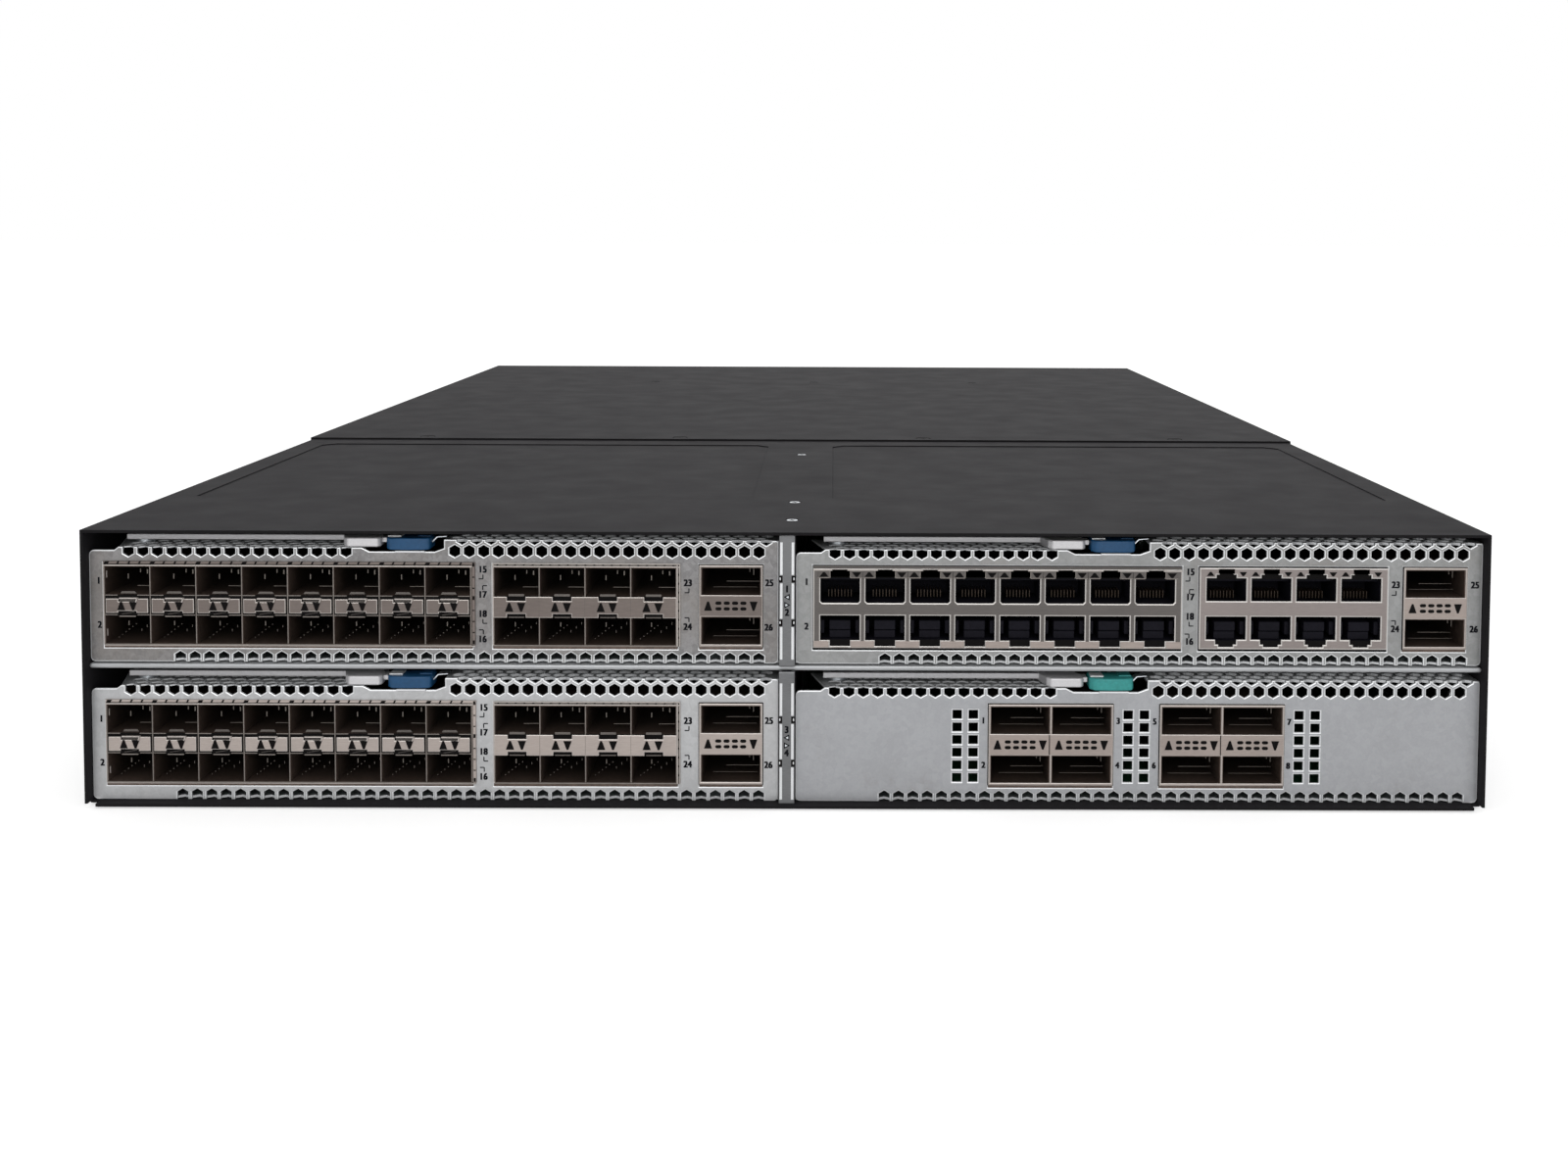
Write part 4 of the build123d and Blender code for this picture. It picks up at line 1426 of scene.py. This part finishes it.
    def _joined_band(self, block: Block) -> None:
        """Adds the band in one piece between the ports of the second block."""
        left, right = block.first, block.last
        lower, upper, tabs = [(left + 0.2, 14.5)], [], []
        for c in block.centres:
            lower += across(self.lower_notch, c)
            upper += across(self.upper_notch, c)
            tabs += [(span(c, 2.5), (-0.75, -0.3), z) for z in ((21.15, 21.95), (14.35, 14.75))]
        ends = [(right - 0.2, 14.5), (right - 0.2, 21.05)]
        self._stamp("joined_band", lower + ends + upper[::-1] + [(left + 0.2, 21.05)])
        self._boxes("joined_tabs", tabs, WARM_DIM, 0.15, "cage_metal")
        seams = [(span(c + 7.15, 0.05), (-0.97, -0.94), (14.7, 20.9)) for c in block.centres[:-1]]
        self._boxes("joined_seams", seams, WARM_DIM, 0.0)
        places = [(c - 0.325, 17.8) for c in block.centres]
        self._pointers("joined_pointers", places, 1.875, -0.98, (2.6, 2.8))
        rim = [((left - 0.1, left + 0.35), (-0.6, 0.0), (5.4, 31.2))]
        rim += [((left - 0.1, right + 0.9), FRAME_DEPTH, z) for z in ((30.35, 30.75), (31.3, 31.6))]
        rim.append((span(right, 0.2), FRAME_DEPTH, (5.4, 31.2)))
        rim.append((span(right + 0.8, 0.15), FRAME_DEPTH, (5.4, 31.5)))
        self._boxes("joined_frame", rim, WARM_EDGE, 0.1)
        depth = (-0.4, -0.02)
        strip = [
            ((left, right + 0.9), depth, (30.6, 31.45)), ((right, right + 0.9), depth, (5.4, 31.2))
        ]
        self._boxes("joined_strip", strip, WARM_DIM, 0.05)
        depth = (-0.5, -0.38)
        slits = [((right + 0.2, right + 0.6), depth, span(8.2 + 2.85 * i, 0.3)) for i in range(8)]
        slits += [(span(left + 1.5 + 2.75 * i, 0.3), depth, (30.85, 31.25)) for i in range(21)]
        # Dark inserts: painted shade of the slits.
        self._boxes("joined_slits", slits, BLACK_AND_SHADE, 0.03)

    def _fingers(self, block: Block) -> None:
        """Adds the row of spring fingers over the first block and down its right edge."""
        left, right = block.first, block.last
        depth = (-0.6, -0.02)
        strip = [
            ((left - 0.1, right + 1.2), depth, (30.95, 31.85)),
            ((right + 0.05, right + 1.1), depth, (5.6, 31.4)),
        ]
        self._boxes("finger_strip", strip, self.stamping, 0.2, "cage_metal")
        lines = [
            ((left - 0.1, right + 0.2), (-0.7, 0.0), (30.3, 30.75)),
            (span(left, 0.15), (-0.5, 0.0), (5.6, 30.9)),
            ((left, right + 1.0), (-0.5, 0.0), (5.1, 5.45)),
        ]
        self._boxes("finger_lines", lines, WARM_EDGE)
        slits, depth = [], (-0.7, -0.58)
        for i in range(block.columns):
            wall = left + 0.25 + block.pitch * i
            slits.append((across(self.wall_slant, wall), depth))
            for step in (4.35, 7.8, 11.1):
                slits.append((across(self.slant, wall + step), depth))
        for i in range(8):
            h = 6.0 + 3.5 * i
            tall = 1.2 if i in (0, 4, 7) else 0.35
            slits.append((rectangle((right + 0.3, right + 0.95), (h, h + tall)), depth))
        slits.append((rectangle((left, right + 1.0), (30.75, 30.95)), (-0.3, -0.05)))
        # Dark inserts: painted shade of the slits.
        self._prisms("finger_slits", slits, BLACK_AND_SHADE)
        marks = [((left + 0.3, left + 0.7), (0.6, 1.0), z) for z in ((26.4, 28.6), (8.0, 10.2))]
        self._boxes("finger_marks", marks, WARM_EDGE, 0.05)


class WornModule(SmallPortModule):
    """The most mottled of the small-port modules."""

    finish = PLATE_DARK
    stamping = WARM_WORN


class PaleModule(SmallPortModule):
    """The palest of the small-port modules."""

    finish = PLATE_PALE
    stamping = WARM_PALE


@dataclass(frozen=True)
class ShieldSizes:
    """What differs between the two blocks' shields.

    Attributes:
        upper: Half of an upper mouth's corners, from its bottom right.
        lower: Half of a lower mouth's corners, from its top right.
        finish: Surface of the sheet.
        top: Where the sheet ends.
        light: Middle height and front of the light windows.
        light_size: Their width and height.
    """

    upper: tuple[Point2, ...]
    lower: tuple[Point2, ...]
    finish: Finish
    top: float
    light: Point2
    light_size: Point2


class JackModule(PortModule):
    """Module with two blocks of jacks and a quad pair."""

    blocks = (Block(5.35, 8, 14.1, 1.4), Block(126.35, 4, 14.1, 1.4), Block(190.6, 1, 19.3))
    numbers = (
        ("1", 3.3, 25.9), ("2", 3.3, 11.8), ("15", 123.6, 29.45), ("17", 123.6, 21.5),
        ("18", 123.6, 15.35), ("16", 123.5, 7.4), ("23", 188.2, 25.6), ("24", 188.2, 11.6),
        ("25", 213.1, 25.6), ("26", 213.0, 11.6),
    )
    brackets = (
        (123.4, 26.65, -1, 1), (123.4, 23.95, 1, -1), (123.4, 12.4, 1, 1),
        (123.4, 9.85, -1, -1), (188.3, 22.4, -1, 1), (188.3, 14.3, -1, -1),
    )
    plain = ShieldSizes(
        ((5.6, 19.5), (6.2, 20.1), (6.2, 27.5), (3.0, 27.5), (3.0, 29.9)),
        ((6.2, 15.6), (6.2, 7.7), (3.2, 7.7), (3.2, 5.85)),
        SHIELD, 30.35, (28.6, -1.38), (2.9, 1.5),
    )
    stepped = ShieldSizes(
        ((6.25, 20.5), (6.25, 27.8), (3.15, 27.8), (3.15, 28.9), (2.2, 28.9), (2.2, 30.45)),
        ((6.25, 15.65), (6.25, 8.3), (3.3, 8.3), (3.3, 6.75), (2.3, 6.75), (2.3, 5.95)),
        SHIELD_PALE, 31.0, (29.15, -1.05), (2.4, 1.3),
    )

    def _cages(self) -> None:
        """Coats the cages, and frames each jack with its shield and light windows."""
        for node in ("cage_a", "cage_b"):
            coat_cad(f"{self.body}_{node}", BLACK)
        coat_cad(f"{self.body}_quad_cage", CAGE_SHADE)
        first, second, quad = self.blocks
        self._shield("a", first, self.plain)
        self._front_parts(first)
        self._jack_insides("a", first)
        self._shield("b", second, self.stepped)
        self._jack_insides("b", second)
        self._quad_block("quad", quad)

    def _shield(self, name: str, block: Block, sizes: ShieldSizes) -> None:
        """Cuts the shield sheet round the mouths and sets the light windows in it."""
        x = (block.first + 0.05, block.last - 0.05)
        mouths = []
        for c in block.centres:
            for half in (sizes.upper, sizes.lower):
                mouths.append(
                    [(c + u, v) for u, v in half] + [(c - u, v) for u, v in reversed(half)]
                )
        sheet = rectangle(x, (5.3, sizes.top))
        self._stamp(f"shield_{name}", sheet, mouths, (-1.0, -0.3), sizes.finish, SHIELD_EDGE, 0.33)
        # Dark sheets behind the shield round the jack rows: painted shade seen through the mouths.
        (low, under), (over, high) = JACK_ROWS
        rows = ((4.6, low), (under, over), (high, 31.15))
        self._boxes(f"backing_{name}", [(x, (-0.35, -0.31), z) for z in rows], BLACK_AND_SHADE, 0.0)
        height, y = sizes.light
        places = [(c + 0.05, height) for c in block.centres]
        self._pointers(f"lights_{name}", places, 5.1, y, sizes.light_size)

    def _front_parts(self, block: Block) -> None:
        """Adds the lips, window boxes and pads on the first block's shield."""
        left, right = block.first, block.last
        joints = [c - block.pitch / 2 for c in block.centres[1:]]
        lips = [(left, left + 6.0), (right - 6.0, right)] + [span(x, 4.8) for x in joints]
        pads = [(left + 0.2, left + 4.9), (right - 4.9, right - 0.2)] + [
            span(x, 3.7) for x in joints
        ]
        windows = [span(c + side, 1.95) for c in block.centres for side in (-5.0, 5.0)]
        boxes = [(x, (-1.6, -0.9), (29.8, 30.2)) for x in lips]
        self._boxes("jack_lips", boxes, WARM_EDGE, slot="cage_metal")
        boxes = [(x, (-1.35, -0.9), (27.5, 29.75)) for x in windows]
        self._boxes("jack_windows", boxes, SHIELD_DARK, 0.1, "cage_metal")
        depth = (-1.42, -1.3)
        lines = [(x, depth, (27.45, 27.7)) for x in windows]
        for i, (low, high) in enumerate(windows):
            x = (low, low + 0.25) if i % 2 else (high - 0.25, high)
            lines.append((x, depth, (27.45, 29.7)))
        self._boxes("jack_window_lines", lines, WALL_END, 0.05)
        boxes = [(x, (-1.15, -0.9), (5.45, 7.55)) for x in pads]
        self._boxes("jack_pads", boxes, WARM, 0.1, "cage_metal")
        boxes = [(span(c, 2.6), (-1.15, -0.7), (5.4, 5.65)) for c in block.centres]
        self._boxes("jack_bends", boxes, WALL_END, 0.05)
        self._boxes("jack_top", [((left, right), (-0.6, 0.2), (30.4, 31.15))], SHIELD, 0.15)

    def _jack_insides(self, name: str, block: Block) -> None:
        """Adds the jack bodies behind the mouths, with contacts in the upper row."""
        contacts, steps = [], []
        for c in block.centres:
            steps += [(span(c + side, 0.7), (1.5, 8.0), (9.4, 13.6)) for side in (-5.6, 5.6)]
            steps.append((span(c, 3.3), (1.6, 9.0), (8.0, 10.4)))
            steps.append((span(c, 3.3), (1.0, 9.0), (10.7, 13.6)))
            steps.append((span(c, 6.3), (2.5, 9.0), (26.2, 27.4)))
            for k in range(8):
                x = span(c + (k - 3.5) * CONTACT_PITCH, 0.13)
                contacts.append((x, (5.0, 11.0), (20.3, 22.6)))
        self._boxes(f"steps_{name}", steps, BLACK, 0.2)
        self._boxes(f"contacts_{name}", contacts, FAINT_GOLD, 0.05)


class QuadModule(PortModule):
    """Module with two double quad blocks between columns of square vents."""

    finish = PLATE_STAINED
    button_finish = TEAL
    button_slot = "green_plastic"
    blocks = (Block(60.8, 2, 19.3), Block(114.7, 2, 19.3))
    numbers = (
        ("1", 59.1, 25.8), ("2", 59.2, 11.6), ("3", 101.6, 25.8), ("4", 101.5, 11.6),
        ("5", 113.1, 25.65), ("6", 113.0, 11.6), ("7", 155.5, 25.65), ("8", 155.4, 11.6),
    )
    number_size = 2.0

    def _vents(self) -> list[list[Point2]]:
        """Three groups of two columns of six square vents."""
        return [
            rectangle(span(x + 1.5 + 5.1 * column, 1.5), span(7.6 + 4.04 * row, 1.45))
            for x in (49.35, 103.25, 157.15)
            for column in range(2)
            for row in range(6)
        ]

    def _cages(self) -> None:
        """Coats and dresses the two double cages."""
        for node, name, block in zip(("cage_a", "cage_b"), ("first", "second"), self.blocks):
            coat_cad(f"{self.body}_{node}", CAGE_SHADE)
            self._quad_block(name, block)


class RearUnits:
    """Fan trays and power supplies. Places run from a rotor's middle or a case's right foot."""

    fan_screws: Point2 = (41.0, 36.0)
    screw_radius = 2.4
    inlet = 17.5
    pins = ((-7.0, 12.0), (0.0, 17.0), (7.0, 12.0))
    pin_half: Point2 = (1.0, 2.0)
    vent_first: Point2 = (6.0, 28.2)
    vent_pitch: Point2 = (4.2, 3.9)
    vent_counts = (7, 3)
    vent_radius = 1.4
    lamp: Point2 = (44.5, 6.0)
    lamp_radius = 1.2

    def build(self) -> None:
        """Dresses the units at the rear."""
        for number in (1, 2):
            self._fan_tray(f"fan_tray_{number}")
        for number in (1, 2, 3, 4):
            self._supply(f"power_supply_{number}")

    def _coat(self, name: str, finishes: Iterable[tuple[str, Finish, float, int]]) -> None:
        """Coats and rounds the CAD nodes of one unit."""
        for part, finish, width, segments in finishes:
            coat_cad(f"{name}_{part}", finish)
            round_cad(f"{name}_{part}", width, segments)

    def _fan_tray(self, name: str) -> None:
        """Coats a fan tray and adds its screws."""
        self._coat(
            name, (("body", BLACK, 0.4, 2), ("rotor", BLACK, 0.3, 2), ("latch", TEAL, 0.5, 3))
        )
        low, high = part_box(f"{name}_rotor")
        x, z = (low.x + high.x) / 2 / MM, (low.z + high.z) / 2 / MM
        face = CHASSIS.bay_face
        screws = Form()
        for u in span(x, self.fan_screws[0]):
            for v in span(z, self.fan_screws[1]):
                screws.rod(u, v, self.screw_radius, face - 0.2, face + 0.8, front)
        screws.make(f"{name}_screws", ZINC, name, 0.2)

    def _supply(self, name: str) -> None:
        """Coats a power supply and adds its inlet pins, vents and lamp."""
        self._coat(name, (("case", CASE, 0.4, 2), ("latch", TEAL, 0.5, 3)))
        low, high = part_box(f"{name}_case")
        right, base = high.x / MM, low.z / MM
        face = CHASSIS.bay_face
        pins = Form()
        for x, z in self.pins:
            wide = span(right - self.inlet + x, self.pin_half[0])
            pins.box(wide, (face - 14.9, face - 3.0), span(base + z, self.pin_half[1]))
        pins.make(f"{name}_pins", ZINC, name, 0.2)
        vents = Form()
        for i in range(self.vent_counts[0]):
            for k in range(self.vent_counts[1]):
                x = right - self.vent_first[0] - self.vent_pitch[0] * i
                z = base + self.vent_first[1] + self.vent_pitch[1] * k
                vents.rod(x, z, self.vent_radius, face - 0.3, face + 0.02, front, 6)
        # Dark hexagons on the face: painted shade of the vent holes.
        vents.make(f"{name}_vents", BLACK_AND_SHADE, name)
        x, z = right - self.lamp[0], base + self.lamp[1]
        lamp = Form().rod(x, z, self.lamp_radius, face - 0.2, face + 0.4, front, 16)
        lamp.make(f"{name}_lamp", LIGHT_PIPE, name, 0.1)


@dataclass(frozen=True)
class Lamp:
    """One square area light: where it hangs and what it looks at in metres, its size and power."""

    name: str
    place: Point3
    aim: Point3
    size: float
    power: float


class Studio:
    """Floor, light and camera.

    The camera was solved from the photograph's corners, in millimetres, radians
    and pixels of a frame of frame_size.
    """

    lamps = (
        Lamp("top", (0.0, -0.1, 1.7), (0.0, 0.0, 0.0), 1.6, 4.0),
        Lamp("front_left", (-0.35, -2.25, 0.80), (0.0, -0.3, 0.04), 1.1, 14.5),
        Lamp("front_right", (0.55, -2.25, 0.70), (0.0, -0.3, 0.04), 1.1, 9.0),
        Lamp("rear", (0.3, 2.2, 1.4), (0.0, 0.3, 0.04), 1.6, 4.0),
    )
    floor_color: Point3 = (0.86, 0.86, 0.86)
    floor_reach: float = 40.0
    floor_height: float = -0.0005
    floor_fade: Point2 = (0.8, 2.4)
    floor_lift: Point2 = (0.50, 0.66)
    world_light: float = 0.48
    sensor: float = 36.0
    camera_place: Point3 = (14.01, -850.50, 178.99)
    pitch: float = 0.05444
    roll: float = 0.00471
    yaw: float = -0.00503
    focal: float = 1725.07
    centre: Point2 = (858.80, 335.82)
    frame_size: Point2 = (1600.0, 1200.0)

    def build(self) -> None:
        """Sets the object in a plain pale studio."""
        self._floor()
        self._world()
        self._lights()
        self._camera()

    @staticmethod
    def _seen(graph: Graph) -> Socket:
        """Is 1 for rays that show the backdrop: direct, reflected or through clear parts."""
        path = graph.node("LightPath", {}).outputs
        seen = graph.math("MAXIMUM", path["Is Camera Ray"], path["Is Glossy Ray"])
        return graph.math("MAXIMUM", seen, path["Is Transmission Ray"])

    def _floor(self) -> None:
        """Lays the pale floor, which shows as white round the object's shadow.

        Its lift grows with the distance, so that no horizon shows far behind.
        """
        floor = bpy.data.materials.new("studio_floor")
        floor.use_nodes = True
        graph = Graph(floor.node_tree)
        place = graph.node("NewGeometry", {}).outputs["Position"]
        away = graph.node("VectorMath", {0: place}, operation="LENGTH").outputs["Value"]
        fade = {
            "Value": away,
            "From Min": self.floor_fade[0],
            "From Max": self.floor_fade[1],
            "To Min": self.floor_lift[0],
            "To Max": self.floor_lift[1],
        }
        lift = graph.node("MapRange", fade).outputs["Result"]
        graph.fill(graph.tree.nodes["Principled BSDF"], {
            "Base Color": (*self.floor_color, 1.0),
            "Roughness": 0.9,
            "Specular IOR Level": 0.0,
            "Emission Color": (1.0, 1.0, 1.0, 1.0),
            "Emission Strength": graph.math("MULTIPLY", self._seen(graph), lift),
        })
        mesh = bpy.data.meshes.new("studio_floor")
        reach = (-self.floor_reach, self.floor_reach)
        corners = [(*corner, self.floor_height) for corner in rectangle(reach, reach)]
        mesh.from_pydata(corners, [], [(0, 1, 2, 3)])
        mesh.materials.append(floor)
        piece = bpy.data.objects.new("studio_floor", mesh)
        bpy.context.collection.objects.link(piece)

    def _world(self) -> None:
        """Pale surroundings: white where they are seen, softer as a light."""
        world = bpy.data.worlds.new("studio")
        bpy.context.scene.world = world
        world.use_nodes = True
        graph = Graph(world.node_tree)
        fade = {"Value": self._seen(graph), "To Min": self.world_light, "To Max": 1.0}
        strength = graph.node("MapRange", fade).outputs["Result"]
        back = {"Color": (1.0, 1.0, 1.0, 1.0), "Strength": strength}
        graph.fill(graph.tree.nodes["Background"], back)

    def _lights(self) -> None:
        """Hangs the large soft lights."""
        for lamp in self.lamps:
            data = bpy.data.lights.new(lamp.name, "AREA")
            data.shape = "SQUARE"
            data.size = lamp.size
            data.energy = lamp.power
            light = bpy.data.objects.new(lamp.name, data)
            bpy.context.collection.objects.link(light)
            light.location = lamp.place
            look = Vector(lamp.aim) - Vector(lamp.place)
            light.rotation_euler = look.to_track_quat("-Z", "Y").to_euler()

    def _camera(self) -> None:
        """Places the camera solved from the photograph's corners."""
        cy, sy = math.cos(self.yaw), math.sin(self.yaw)
        cp, sp = math.cos(self.pitch), math.sin(self.pitch)
        cr, sr = math.cos(self.roll), math.sin(self.roll)
        turn = Matrix(((cr, -sr, 0), (sr, cr, 0), (0, 0, 1)))
        tilt = Matrix(((1, 0, 0), (0, cp, -sp), (0, sp, cp)))
        look = Matrix(((1, 0, 0), (0, 0, -1), (0, 1, 0)))
        swing = Matrix(((cy, sy, 0), (-sy, cy, 0), (0, 0, 1)))
        rows = turn @ tilt @ look @ swing
        data = bpy.data.cameras.new("camera")
        width, height = self.frame_size
        data.sensor_width = self.sensor
        data.lens = self.focal * self.sensor / width
        data.shift_x = (width / 2 - self.centre[0]) / width
        data.shift_y = (self.centre[1] - height / 2) / width
        data.clip_start = 0.01
        data.clip_end = 50.0
        camera = bpy.data.objects.new("camera", data)
        bpy.context.collection.objects.link(camera)
        axes = Matrix((rows[0], -rows[1], -rows[2])).transposed().to_4x4()
        camera.matrix_world = Matrix.Translation(Vector(self.camera_place) * MM) @ axes
        bpy.context.scene.camera = camera
        bpy.context.scene.view_settings.view_transform = "Standard"


def main() -> None:
    """Builds the looks in order."""
    logging.basicConfig(level=logging.INFO, format="%(name)s: %(message)s")
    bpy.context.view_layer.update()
    Chassis().build()
    sizes = CHASSIS
    for module in (
        WornModule(1, sizes.slot_left, sizes.slot_high),
        JackModule(2, sizes.slot_right, sizes.slot_high),
        PaleModule(3, sizes.slot_left, sizes.slot_low),
        QuadModule(4, sizes.slot_right, sizes.slot_low),
    ):
        LOG.info("module %d", module.number)
        module.build()
    RearUnits().build()
    Studio().build()


if __name__ == "__main__":
    main()
